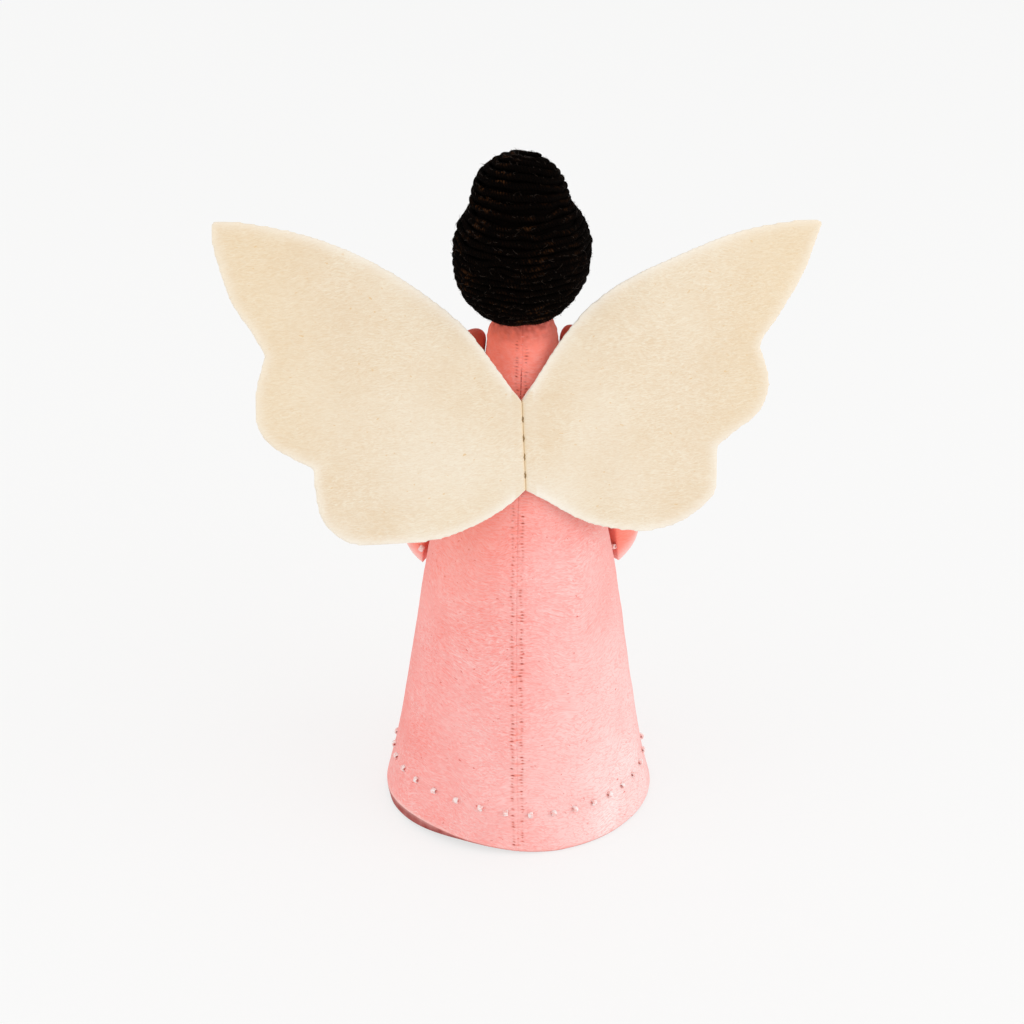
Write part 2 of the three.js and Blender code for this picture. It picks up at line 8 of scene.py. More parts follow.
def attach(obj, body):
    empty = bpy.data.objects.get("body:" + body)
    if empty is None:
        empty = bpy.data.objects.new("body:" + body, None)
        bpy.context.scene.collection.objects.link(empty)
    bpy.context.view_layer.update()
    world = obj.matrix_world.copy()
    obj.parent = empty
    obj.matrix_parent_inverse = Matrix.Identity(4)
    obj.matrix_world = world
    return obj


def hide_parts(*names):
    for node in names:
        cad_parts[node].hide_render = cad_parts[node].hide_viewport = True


# A felt angel for the top of a tree: its looks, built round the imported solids.
# Lengths are in millimetres until a piece is made, and angles are in degrees unless said.
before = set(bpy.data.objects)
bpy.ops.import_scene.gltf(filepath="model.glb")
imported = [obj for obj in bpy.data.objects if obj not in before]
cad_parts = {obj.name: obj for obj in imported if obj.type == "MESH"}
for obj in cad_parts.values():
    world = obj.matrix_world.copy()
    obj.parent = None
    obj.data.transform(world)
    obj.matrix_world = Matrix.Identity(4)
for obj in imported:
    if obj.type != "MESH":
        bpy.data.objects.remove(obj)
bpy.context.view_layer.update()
MM = 0.001

# Sizes, most of them shared with the solids
HEM_RADIUS = 44
DRESS_HEIGHT = 170
DRESS_FELT = 2.6
DRESS_PROFILE = [
    (0, 1), (0.0906, 0.9125), (0.2265, 0.825), (0.388, 0.74), (0.55, 0.6325),
    (0.712, 0.4525), (0.8735, 0.2825), (0.941, 0.245), (0.96, 0.231), (0.976, 0.205), (1, 0.18),
]
HEM_LIFT, HEM_LIFT_REACH, HEM_LIFT_MIDDLE, HEM_LIFT_SPREAD = 3.3, 45, 50, 60
HEM_SPLAY = 3.0  # how far the cut edge leans out where the hem curls up
EDGE_ROUND = 0.9
# How far to each side of the seam the closest columns of the dress's points lie
SEAM_BAND = (0.1, 0.22, 0.45, 0.8, 1.1, 1.3, 1.46, 1.6, 1.74, 1.9, 2.1, 2.4, 2.9, 3.5, 4.3)

STITCH_HALF_WIDTH = 1.8
STITCH_PITCH = 2
SEAM_FOOT, SEAM_HEAD = 2, 166
SEAM_WANDER = 1.1
NEEDLE_REACH = 1.6  # every mark of the needle ends within this, up and down
THREAD_RADIUS, THREAD_DEPTH, THREAD_SUNK = 0.14, 0.62, 0.45

BEAD_COUNT = 33
BEAD_RADIUS = 1.1
BEAD_HOLE = 0.35
BEAD_LENGTH = 1.7
BEAD_HEIGHT = 12.9
BEAD_START, BEAD_WANDER = 92, 3.4
STITCH_REACH = (-1.5, -1.3, -0.95, -0.4, 0.4, 0.95, 1.3, 1.5)  # along a bead, for the stitch through it
HEM_STITCH_DEPTH = (-1.2, -0.8, -0.2, 0.05, 0.05, -0.2, -0.8, -1.2)
CUFF_STITCH_DEPTH = (-1.5, -1.0, -0.25, 0, 0, -0.25, -1.0, -1.5)

WING_REACH, WING_RISE, WING_FELT = 92, 80, 2.6
WING_SEAM_FOOT, WING_SEAM_LENGTH = 119.3, 28.5
WING_SEAM_ASIDE, WING_STANDOFF, WING_TURN = -0.7, 1.4, 14
WING_SEAM_DROP, WING_SEAM_DRIFT = 1.1, 0.75
WING_OVERLAP = 0.04  # how far each wing passes the middle of their seam
WING_VOXEL = 0.65
WING_STITCHES = ((3.4, 6.2), (8.9, 12.0), (14.6, 17.5), (20.6, 23.2))
WING_STITCH_RADIUS = 0.24
LEFT_WING = [
    [(0.156, 0.586), (0.314, 0.746), (0.507, 0.887), (0.696, 0.978), (0.884, 1.028), (1.002, 1.04)],
    [(1.004, 0.949), (0.959, 0.769), (0.926, 0.696), (0.883, 0.622), (0.847, 0.544)],
    [(0.873, 0.439), (0.878, 0.376), (0.875, 0.291), (0.835, 0.215), (0.765, 0.16), (0.695, 0.118)],
    [(0.69, 0.021), (0.661, -0.094), (0.567, -0.176), (0.413, -0.184), (0.252, -0.165), (0.1, -0.09)],
]
RIGHT_WING = [
    [(0.166, 0.635), (0.315, 0.78), (0.516, 0.883), (0.72, 0.965), (0.926, 1.002), (1.01, 0.997)],
    [(0.995, 0.94), (0.947, 0.789), (0.868, 0.639), (0.821, 0.564), (0.805, 0.52)],
    [(0.828, 0.448), (0.841, 0.374), (0.828, 0.31), (0.795, 0.25), (0.735, 0.2), (0.664, 0.135)],
    [(0.667, -0.012), (0.628, -0.088), (0.521, -0.161), (0.389, -0.18), (0.213, -0.136), (0.069, -0.047)],
]

HEAD_RADIUS = 18.7
NECK_LENGTH = 14
NAPE_ANGLE, CROWN_ANGLE = 150, 51
NAPE_OPENING, FACE_CURVE, FACE_CLOSING = 100, 0.55, 0.8
BUN_HEIGHT = 17.4
BUN_PROFILE = [(0, 1), (0.13, 0.93), (0.42, 0.85), (0.7, 0.7), (0.88, 0.46), (1, 0.16)]

SHOULDER = {"height": 157, "depth": 4.2, "width": 4.6, "turn": 8}
CUFF = {"height": 85, "depth": 6, "width": 9, "turn": 32}
CUFF_SLOPE, CUFF_LIFT, CUFF_LEAN = 8, 5, 3.5
# For each side: how far the rim's outer corner is drawn out
CUFF_CORNERS = {1: 2.9, -1: 3.1}
# For each side: how far the rim sags, or rises where below 0, and round where, in radians
CUFF_DIPS = {1: (1.3, 0.4), -1: (-1.7, -0.45)}
# For each side: how far out the rounded shoulder end leans, and how high it is
SHOULDER_TIPS = {1: (-0.9, 4.6), -1: (-0.6, 6.2)}
CUFF_DIP_WIDTH = 0.42
CUFF_FLARE, SLEEVE_FELT, SLEEVE_HOLLOW = 1.3, 2, 0.3
CUFF_BEAD_PLACES = {1: (-6, 37, 81, 125, 168), -1: (-38, 98, 127, 155, 183)}
CUFF_BEAD_RISE = 5
HAND_HEIGHT, HAND_STANDOFF, ARM_VOXEL = 80, 4.6, 0.4
GAP = 0.3
SIDES = (("left", 1), ("right", -1))


# Shapes


def ramp(value, start, run):
    """0 up to the start, and 1 from the end of the run on."""
    return np.clip((value - start) / run, 0, 1)


def bell(off, width):
    """1 at no distance off, falling smoothly to 0 within about twice the width."""
    return np.exp(-((off / width) ** 2))


def wrapped(turn):
    """The same turn in radians, brought to -pi to pi."""
    return (turn + math.pi) % (2 * math.pi) - math.pi


def chance(*place):
    """A smooth random number that belongs to a place."""
    return noise.noise(Vector(place))


def all_round(count):
    """Turns in radians, evenly spread all the way round."""
    return np.linspace(0, 2 * np.pi, count, endpoint=False)


def smooth_through(points, steps):
    """Points of an even curve through the given ones."""
    points = np.array(points, float)
    last = len(points) - 1
    share = np.linspace(0, 1, steps, endpoint=False)[:, None]
    made = []
    for index in range(last):
        before, start = points[max(index - 1, 0)], points[index]
        end, after = points[index + 1], points[min(index + 2, last)]
        leave, arrive = (end - before) / 2, (after - start) / 2
        made.append(
            start
            + leave * share
            + (3 * (end - start) - 2 * leave - arrive) * share**2
            + (2 * (start - end) + leave + arrive) * share**3
        )
    return np.vstack([*made, points[-1:]])


def evenly(path, step):
    """The same path with its points a step apart."""
    path = np.array(path, float)
    run = np.concatenate([[0], np.cumsum(np.linalg.norm(np.diff(path, axis=0), axis=1))])
    places = np.linspace(0, run[-1], max(int(run[-1] / step), 2) + 1)
    return np.stack([np.interp(places, run, path[:, axis]) for axis in range(3)], 1)


def unit(vectors):
    return vectors / np.linalg.norm(vectors, axis=-1, keepdims=True)


def round_axis(distance, turn, height):
    """Points at a distance from the upright axis, turned from +X by radians."""
    return np.stack(np.broadcast_arrays(distance * np.cos(turn), distance * np.sin(turn), height), -1)


def wander(points, size, seed):
    """Smooth random numbers from -1 to 1 at points, with features of a size in millimetres."""
    shift = Vector((seed * 17.3, seed * 5.1, seed * 9.7))
    flat = np.asarray(points, float).reshape(-1, 3) / size
    return np.array([noise.noise(Vector(p) + shift) for p in flat]).reshape(np.shape(points)[:-1])


def grid_faces(rows, columns, closed_along=False):
    """Quads over rows of points that run round: a tube, or a ring where the last row meets the first."""
    row = np.arange(rows if closed_along else rows - 1)[:, None]
    column = np.arange(columns)[None, :]
    next_row, next_column = (row + 1) % rows, (column + 1) % columns
    corners = [row * columns + column, row * columns + next_column,
               next_row * columns + next_column, next_row * columns + column]
    return np.stack(corners, -1).reshape(-1, 4).tolist()


def capped_faces(rows, columns):
    """The faces of a tube with both ends closed."""
    ends = [list(range(columns)), list(range((rows - 1) * columns, rows * columns))]
    return grid_faces(rows, columns) + ends


def new_mesh(name, points, faces):
    """A mesh whose faces all look outwards."""
    mesh = bpy.data.meshes.new(name)
    mesh.from_pydata(np.asarray(points).reshape(-1, 3).tolist(), [], faces)
    shaper = bmesh.new()
    shaper.from_mesh(mesh)
    bmesh.ops.recalc_face_normals(shaper, faces=shaper.faces)
    shaper.to_mesh(mesh)
    shaper.free()
    return mesh


def new_object(name, data):
    """An object in the scene, made of the data."""
    made = bpy.data.objects.new(name, data)
    bpy.context.scene.collection.objects.link(made)
    return made


def make_piece(name, points, faces, finish, body, stands_for=(), marks=None):
    """A piece of the object: points in millimetres, with named marks that its finish reads.
    """
    mesh = new_mesh(name, np.asarray(points) * MM, faces)
    mesh.polygons.foreach_set("use_smooth", [True] * len(mesh.polygons))
    for mark, values in (marks or {}).items():
        layer = mesh.attributes.new(mark, "FLOAT", "POINT")
        layer.data.foreach_set("value", np.asarray(values, np.float32).ravel())
    mesh.materials.append(finishes[finish])
    piece = new_object(name, mesh)
    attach(piece, body)
    if stands_for:
        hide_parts(*stands_for)
    return piece


def closed_tube(path, radii, sides, outwards, flatten=1):
    """Points and faces of a tube along a path, with the first side of each ring facing outwards."""
    along = unit(np.gradient(path, axis=0))
    across = unit(np.cross(along, outwards))
    out = np.cross(across, along)
    turn = all_round(sides)[None, :, None]
    radii = np.broadcast_to(radii, len(path))[:, None, None]
    ring = np.cos(turn) * out[:, None] * flatten + np.sin(turn) * across[:, None]
    return (path[:, None] + radii * ring).reshape(-1, 3), capped_faces(len(path), sides)


def ball(radius, subdivisions):
    """Points and faces of a round ball."""
    shaper = bmesh.new()
    bmesh.ops.create_icosphere(shaper, subdivisions=subdivisions, radius=radius)
    points = np.array([v.co for v in shaper.verts])
    faces = [[v.index for v in f.verts] for f in shaper.faces]
    shaper.free()
    return points, faces


def join_parts(parts):
    """One list of points and one of faces from several closed shapes."""
    points, faces, start = [], [], 0
    for part_points, part_faces in parts:
        points.append(part_points)
        faces += [[corner + start for corner in face] for face in part_faces]
        start += len(part_points)
    return np.vstack(points), faces


# Finishes


class Value:
    """A number on its way through a finish's nodes. Each sign adds its Math node."""

    def __init__(self, finish, socket):
        self.finish, self.socket = finish, socket

    def __add__(self, other):
        return self.finish.maths("ADD", self, other)

    def __sub__(self, other):
        return self.finish.maths("SUBTRACT", self, other)

    def __rsub__(self, other):
        return self.finish.maths("SUBTRACT", other, self)

    def __mul__(self, other):
        return self.finish.maths("MULTIPLY", self, other)

    def __abs__(self):
        return self.finish.maths("ABSOLUTE", self)

    __radd__, __rmul__ = __add__, __mul__


class Finish:
    """One material. Its constants are set on the shader, and its nodes feed what varies."""

    def __init__(self, name, **constants):
        self.material = bpy.data.materials.new(name)
        self.material.use_nodes = True
        self.tree = self.material.node_tree
        self.shader = self.tree.nodes["Principled BSDF"]
        for socket, value in constants.items():
            self.shader.inputs[socket.replace("_", " ")].default_value = value
        self.place = self.node("TexCoord", "Object")

    def node(self, kind, output, settings=None, values=None):
        made = self.tree.nodes.new("ShaderNode" + kind)
        for name, value in (settings or {}).items():
            setattr(made, name, value)
        for name, value in (values or {}).items():
            if isinstance(value, Value):
                self.tree.links.new(value.socket, made.inputs[name])
            else:
                made.inputs[name].default_value = value
        return Value(self, made.outputs[output])

    def maths(self, operation, *values, clamp=False):
        settings = {"operation": operation, "use_clamp": clamp}
        return self.node("Math", 0, settings, dict(enumerate(values)))

    def vector(self, operation, *values):
        return self.node("VectorMath", 0, {"operation": operation}, dict(enumerate(values)))

    def scaled(self, place, by):
        return self.vector("MULTIPLY", place, by)

    def ease(self, value, low, high):
        settings = {"interpolation_type": "SMOOTHSTEP"}
        return self.node("MapRange", 0, settings, {"Value": value, "From Min": low, "From Max": high})

    def noise(self, place, scale, detail=2, roughness=0.5):
        values = {"Vector": place, "Scale": scale, "Detail": detail, "Roughness": roughness}
        return self.node("TexNoise", "Fac", {}, values)

    def bent(self, place, scale, amount):
        """The place, pushed about by smooth noise, so that what is drawn on it curls."""
        values = {"Vector": place, "Scale": scale, "Detail": 1}
        push = self.node("TexNoise", "Color", {}, values)
        return self.vector("ADD", place, self.scaled(push, (amount,) * 3))

    def fibres(self, place, scale, width):
        """Thin curling lines, 1 on a fibre and 0 off it."""
        off = abs(self.noise(place, scale, 1) - 0.5)
        return 1 - self.ease(off, 0, width)

    def mix(self, share, low, high):
        values = {"Factor": share, "A": low, "B": high}
        made = self.tree.nodes.new("ShaderNodeMix")
        made.data_type = "RGBA"
        sockets = {"Factor": made.inputs[0], "A": made.inputs[6], "B": made.inputs[7]}
        for name, value in values.items():
            if isinstance(value, Value):
                self.tree.links.new(value.socket, sockets[name])
            else:
                sockets[name].default_value = (*value, 1) if name != "Factor" else value
        return Value(self, made.outputs[2])

    def mark(self, name):
        return self.node("Attribute", "Fac", {"attribute_name": name})

    def feed(self, socket, value):
        self.tree.links.new(value.socket, self.shader.inputs[socket])

    def bump(self, height, distance, strength=1):
        values = {"Height": height, "Distance": distance * MM, "Strength": strength}
        self.feed("Normal", self.node("Bump", "Normal", {}, values))


def felt(name, colour, deep, pale, cut_and_painted_light, darker_and_painted_shade, paler_and_painted_light, fleck, lie, flow, hairy, raised, sheen):
    """Thick pressed wool felt: cloudy, with fine wavy hairs that lie at an angle, and a few flecks.

    Its marks are cut edges and painted light on edges, darker sewn places and painted shade, paler places
    and painted light, and dark holes and painted shade.
    """
    made = Finish(name, Sheen_Weight=sheen, Sheen_Roughness=0.5, Sheen_Tint=(*colour, 1),
                  Specular_IOR_Level=0.05)
    about_y = {"rotation_type": "Y_AXIS"}
    turned = made.node("VectorRotate", "Vector", about_y, {"Vector": made.place, "Angle": lie})
    flowing = made.bent(turned, 42, flow)
    wavy = made.bent(flowing, 180, 0.0022)
    wavier = made.bent(flowing, 320, 0.002)
    level = made.scaled(wavy, (1, 1, 5.5))
    cloud = made.noise(made.place, 36, 2)
    mottle = made.noise(level, 620, 3, 0.6)
    hair = made.fibres(level, 260, 0.09)
    fine_hair = made.fibres(made.scaled(wavier, (1, 1, 5)), 420, 0.11)
    cross_hair = made.fibres(made.scaled(wavier, (1, 1, 2)), 700, 0.12)
    beside = made.vector("ADD", wavy, (0.3, 0.2, 0.1))
    low_hair = made.fibres(made.scaled(beside, (1, 1, 5)), 330, 0.07)
    tone = made.mix(made.ease(0.55 * mottle + 0.45 * cloud, 0.36, 0.62), deep, colour)
    # Paler places: painted light on the dress, and a paler middle on the wings
    tone = made.mix(made.mark("paler_and_painted_light"), tone, paler_and_painted_light)
    patch = 0.75 + 0.45 * made.ease(made.noise(made.place, 60, 2), 0.36, 0.62)
    hairs = patch * (0.6 * hair + 0.55 * fine_hair + 0.35 * cross_hair)
    tone = made.mix(made.maths("MULTIPLY", hairy, hairs, clamp=True), tone, pale)
    tone = made.mix(0.7 * hairy * low_hair, tone, deep)
    speck = made.ease(made.noise(made.scaled(wavier, (1, 1, 2)), 520, 1), 0.73, 0.79)
    tone = made.mix(0.8 * speck, tone, fleck)
    # Paler cut edges, with painted light on the wings' rims and along the curled hem
    tone = made.mix(made.mark("cut_and_painted_light"), tone, cut_and_painted_light)
    # Darker places: the seam's stitches and gold on the wings, and painted shade on the pink felt
    tone = made.mix(made.mark("darker_and_painted_shade"), tone, darker_and_painted_shade)
    # Dark places: needle holes and the groove's line, with painted shade in the holes, under the hair, on
    # the curled hem and on the shoulders
    hole_and_painted_shade = (0.34 * fleck[0], 0.16 * fleck[1], 0.14 * fleck[2])
    tone = made.mix(made.mark("hole_and_painted_shade"), tone, hole_and_painted_shade)
    made.feed("Base Color", tone)
    made.feed("Roughness", 0.86 + 0.12 * mottle)
    made.bump(0.6 * mottle + 0.4 * hair + 0.4 * fine_hair + 0.3 * cross_hair, 0.16, raised)
    return made.material


def wool_yarn(name, colour, deep, painted_highlight_brown):
    """Nearly black plied yarn, with a painted highlight in brown where the plies stand out."""
    made = Finish(name, Specular_IOR_Level=0.02)
    curled = made.bent(made.place, 500, 0.0015)
    strand = made.noise(curled, 2600, 2, 0.6)
    cloud = made.noise(made.place, 120, 2)
    fibre = made.fibres(curled, 1500, 0.08)
    tone = made.mix(made.ease(strand, 0.38, 0.62), deep, colour)
    scattered = made.ease(made.noise(curled, 800, 1), 0.44, 0.6)
    scattered = scattered * (0.2 + 0.9 * made.ease(made.noise(made.place, 46, 1), 0.4, 0.6))
    # Painted highlight in brown on the plies' crests, in scattered patches
    shown = made.mark("crest") * (0.05 + 1.2 * made.ease(cloud, 0.46, 0.68)) * scattered
    made.feed("Base Color", made.mix(shown * (0.3 + 0.7 * strand) + 0.025 * fibre, tone, painted_highlight_brown))
    made.feed("Roughness", 0.7 + 0.25 * strand)
    made.bump(strand + fibre, 0.12, 0.6)
    return made.material


def felted_wool(name, colour, deep, pale, blush):
    """Needle felted wool, with a blush where the piece is marked."""
    made = Finish(name, Sheen_Weight=0.3, Sheen_Roughness=0.5, Specular_IOR_Level=0.15)
    curled = made.bent(made.place, 260, 0.005)
    mottle = made.noise(curled, 480, 3, 0.6)
    fibre = made.fibres(curled, 620, 0.04)
    prick = made.ease(made.noise(made.place, 900, 1), 0.66, 0.76)
    tone = made.mix(made.ease(mottle, 0.35, 0.65), deep, colour)
    tone = made.mix(0.5 * fibre, tone, pale)
    made.feed("Base Color", made.mix(made.mark("blush") * (0.6 + 0.6 * mottle), tone, blush))
    made.feed("Roughness", 0.85 + 0.12 * mottle)
    made.bump(mottle + 0.4 * fibre - 0.6 * prick, 0.35, 0.8)
    return made.material


def thread(name, colour, deep, sheen=0.2):
    """Sewing thread, twisted and a little shiny."""
    made = Finish(name, Sheen_Weight=sheen, Specular_IOR_Level=0.4)
    strand = made.noise(made.place, 3200, 2)
    made.feed("Base Color", made.mix(made.ease(strand, 0.35, 0.65), deep, colour))
    made.feed("Roughness", 0.45 + 0.3 * strand)
    made.bump(strand, 0.06, 0.6)
    return made.material


def glass_bead(name, colour, tinge, clear):
    """A small glass bead, a little uneven inside; on the clear bead the pink is painted, standing for the
    pink felt seen through the glass.
    """
    made = Finish(name, Transmission_Weight=clear, IOR=1.4, Coat_Weight=0.9, Coat_Roughness=0.05)
    cloud = made.noise(made.place, 900, 2)
    made.feed("Base Color", made.mix(made.ease(cloud, 0.42, 0.58), tinge, colour))
    made.feed("Roughness", 0.03 + 0.06 * cloud)
    made.bump(cloud, 0.05, 0.4)
    return made.material


def make_finishes():
    return {
        "pink_felt": felt(
            "pink_felt", colour=(1, 0.45, 0.42), deep=(0.97, 0.28, 0.245), pale=(1, 0.63, 0.605),
            cut_and_painted_light=(0.98, 0.68, 0.64), darker_and_painted_shade=(1, 0.2, 0.12), paler_and_painted_light=(0.98, 0.86, 0.84),
            fleck=(0.72, 0.12, 0.09), lie=0.12, flow=0.014, hairy=0.6, raised=0.5, sheen=0.45),
        "cream_felt": felt(
            "cream_felt", colour=(0.83, 0.7, 0.525), deep=(0.775, 0.61, 0.42), pale=(0.9, 0.825, 0.68),
            cut_and_painted_light=(0.95, 0.91, 0.83), darker_and_painted_shade=(0.82, 0.6, 0.32), paler_and_painted_light=(0.9, 0.84, 0.74),
            fleck=(0.76, 0.53, 0.28), lie=0.0, flow=0.004, hairy=0.42, raised=0.25, sheen=0.2),
        # Its last colour is the painted highlight on the plies' crests
        "dark_yarn": wool_yarn("dark_yarn", (0.0012, 0.0006, 0.0004), (0.0006, 0.0004, 0.0003),
                               (0.1, 0.038, 0.013)),
        "loose_hair": thread("loose_hair", (0.04, 0.02, 0.01), (0.015, 0.008, 0.004), sheen=0),
        "skin_wool": felted_wool("skin_wool", (0.68, 0.38, 0.25), (0.58, 0.29, 0.18), (0.78, 0.5, 0.36),
                                 (0.72, 0.22, 0.16)),
        "pink_thread": thread("pink_thread", (0.92, 0.36, 0.31), (0.84, 0.22, 0.17)),
        "golden_thread": thread("golden_thread", (0.4, 0.24, 0.08), (0.2, 0.11, 0.035)),
        # Painted: the clear bead's pink stands for the felt seen through the clear glass
        "clear_bead": glass_bead("clear_bead", (1, 0.9, 0.88), (1, 0.56, 0.52), 0.12),
        "black_bead": glass_bead("black_bead", (0.006, 0.005, 0.006), (0.012, 0.01, 0.01), 0),
        "red_thread": thread("red_thread", (0.5, 0.07, 0.06), (0.32, 0.03, 0.03)),
    }


# The camera, the floor and the light


def make_camera():
    """Behind the angel and a little above it. Its lean and roll are in radians."""
    lean, roll = 0.497, -0.008
    right = Vector((-1, 0, 0))
    up = Vector((0, -math.sin(lean), math.cos(lean)))
    back = Vector((0, math.cos(lean), math.sin(lean)))
    across = right * math.cos(roll) - up * math.sin(roll)
    upright = right * math.sin(roll) + up * math.cos(roll)
    camera = new_object("camera", bpy.data.cameras.new("camera"))
    camera.data.lens, camera.data.sensor_width = 84.375, 36
    camera.matrix_world = Matrix.Translation((0.0028, 0.662, 0.4591)) @ Matrix(
        (across, upright, back)).transposed().to_4x4()
    bpy.context.scene.camera = camera


def make_floor():
    """A white table. Looked at, most of its white is its own, so that it stays even to the far edge."""
    made = Finish("white_floor", Specular_IOR_Level=0.1)
    cloud = made.noise(made.place, 3, 2)
    made.feed("Base Color", made.mix(cloud, (0.9, 0.9, 0.9), (0.92, 0.92, 0.92)))
    made.feed("Roughness", 0.85 + 0.1 * cloud)
    looked_at = made.node("LightPath", "Is Camera Ray")
    mirrored = made.node("LightPath", "Is Glossy Ray") + made.node("LightPath", "Is Transmission Ray")
    share = made.maths("MULTIPLY", made.maths("ADD", looked_at, mirrored, clamp=True), 0.7)
    white = made.node("Emission", "Emission", {}, {"Color": (0.975, 0.975, 0.97, 1), "Strength": 1.0})
    both = made.node("MixShader", "Shader", {}, {0: share})
    made.tree.links.new(made.shader.outputs["BSDF"], both.socket.node.inputs[1])
    made.tree.links.new(white.socket, both.socket.node.inputs[2])
    made.tree.links.new(both.socket, made.tree.nodes["Material Output"].inputs["Surface"])
    mesh = bpy.data.meshes.new("floor")
    reach = 3
    corners = [(-reach, -reach, 0), (reach, -reach, 0), (reach, reach, 0), (-reach, reach, 0)]
    mesh.from_pydata(corners, [], [(0, 1, 2, 3)])
    mesh.materials.append(made.material)
    floor = new_object("floor", mesh)
    floor.location.z = -0.00005


def make_lamp(name, place, target, size, power):
    data = bpy.data.lights.new(name, "AREA")
    data.size, data.energy = size, power
    lamp = new_object(name, data)
    lamp.location = place
    away = Vector(place) - Vector(target)
    lamp.rotation_euler = away.to_track_quat("Z", "Y").to_euler()


def make_light():
    world = bpy.data.worlds.new("studio")
    world.use_nodes = True
    world.node_tree.nodes["Background"].inputs["Color"].default_value = (1, 1, 1, 1)
    world.node_tree.nodes["Background"].inputs["Strength"].default_value = 0.85
    bpy.context.scene.world = world
    make_lamp("key", (-1.2, 0.5, 0.45), (0, 0, 0.08), 1.4, 7.2)
    make_lamp("fill", (1.2, 0.45, 0.4), (0, 0, 0.07), 1.4, 4)
    bpy.context.scene.view_settings.view_transform = "Standard"


# Dress

profile = smooth_through([(out * HEM_RADIUS, up * DRESS_HEIGHT) for up, out in DRESS_PROFILE], 12)


def dress_radius(height):
    return np.interp(height, profile[:, 1], profile[:, 0])


def hem_lift(turn, height):
    """How far the back left of the hem curls up, for a turn in radians from -pi to pi."""
    off = np.abs(turn - math.radians(HEM_LIFT_MIDDLE)) / math.radians(HEM_LIFT_SPREAD)
    swell = np.where(off < 1, np.cos(np.pi / 2 * np.minimum(off, 1)) ** 2, 0)
    return HEM_LIFT * swell * (1 - ramp(np.asarray(height), 0, HEM_LIFT_REACH))


def shown_edge(turn):
    """1 where the curled hem shows its cut edge most, and 0 from the ends of that stretch on."""
    rising, falling = ramp(np.degrees(turn), -2, 27), ramp(np.degrees(turn), 30, 62)
    return np.sin(np.pi / 2 * rising) ** 2 * np.cos(np.pi / 2 * falling) ** 2


def seam_aside(height):
    """The seam drifts a little to one side on its way up."""
    return SEAM_WANDER * np.sin(np.pi * height / DRESS_HEIGHT)


def stitch_holes():
    """Where the needle went in, as (how far aside, height)."""
    count = int((SEAM_HEAD - SEAM_FOOT) / STITCH_PITCH * 2)
    sides = np.where(np.arange(count + 1) % 2 == 0, 1, -1)
    heights = SEAM_FOOT + (np.arange(count + 1) + 0.3 * sides) * STITCH_PITCH / 2
    jitter = np.stack([heights * 7.1, heights * 3.3, heights * 0], -1)
    aside = sides * 0.8 * STITCH_HALF_WIDTH + 0.6 * wander(jitter, 5, 3)
    return np.stack([aside, heights + 0.5 * wander(jitter, 4, 4)], -1)


def dress_rows():
    """Heights, and how deep in the felt: up the outside, over the top edge and down the inside."""
    bend = EDGE_ROUND * np.array([(0.8, 0.02), (0.52, 0.12), (0.21, 0.38), (0.04, 0.72)])
    rows = [(height, 0) for height in np.arange(1.0, DRESS_HEIGHT - 0.8, 0.34)]
    rows += [(DRESS_HEIGHT - down, into) for down, into in bend]
    rows += [(DRESS_HEIGHT, DRESS_FELT / 2)]
    rows += [(DRESS_HEIGHT - down, DRESS_FELT - into) for down, into in bend[::-1]]
    rows += [(height, DRESS_FELT) for height in np.arange(DRESS_HEIGHT - 2, 1.5, -2.5)]
    rows += [(up, DRESS_FELT - into) for up, into in bend]
    rows += [(0, DRESS_FELT * 0.6), (0, DRESS_FELT * 0.35)]
    rows += [(up, into) for up, into in bend[::-1]]
    return np.array(rows).T[..., None]


def dress_columns(height):
    """The turns of each row's points, close together at the seam, and how far aside of it they are."""
    band = np.concatenate([-np.array(SEAM_BAND)[::-1], [0], SEAM_BAND])
    in_band = (band + seam_aside(height)) / dress_radius(height)
    share = np.linspace(0, 1, 132)[1:-1]
    rest = in_band[:, -1:] + share * (2 * np.pi - in_band[:, -1:] + in_band[:, :1])
    turn = np.pi / 2 - np.concatenate([in_band, rest], 1)
    return turn, np.concatenate([np.broadcast_to(band, in_band.shape), np.full(rest.shape, 99.0)], 1)


def needle_marks(aside, height):
    """The needle's holes, with fainter ones between them, and the stitches that are pulled tight."""
    hole_and_painted_shade, pulled = np.zeros_like(aside), np.zeros_like(aside)
    holes = stitch_holes()
    between = (holes[:-2] + holes[2:]) / 2
    for index, (across, up) in enumerate(np.concatenate([holes, between])):
        near = np.abs(height[:, 0] - up) < NEEDLE_REACH
        strength = min(max(0.65 + 1.7 * chance(up * 2.3, across, 9), 0.05), 1)
        strength *= 1 if index < len(holes) else 0.55
        off = aside[near] - across - 0.3 * chance(up * 3.7, across * 2, 17)
        wide = 1.9 + 1.5 * chance(up * 1.7, across * 3.1, 4)
        distance = np.hypot(off / wide, 1.5 * (height[near] - up))
        hole_and_painted_shade[near] = np.maximum(hole_and_painted_shade[near], strength * bell(distance, 0.24))
    for (across, up), (end, end_up) in list(zip(holes, np.roll(holes, -1, 0)))[::2]:
        near = np.abs(height[:, 0] - up) < NEEDLE_REACH
        share = np.clip((aside[near] - across) / (end - across), 0, 1)
        off = np.hypot(aside[near] - across - share * (end - across),
                       height[near] - up - share * (end_up - up))
        tight = 0.3 + chance(up * 1.7, across * 3.1, 4)
        pulled[near] = np.maximum(pulled[near], tight * bell(off, 0.3))
    return hole_and_painted_shade, pulled


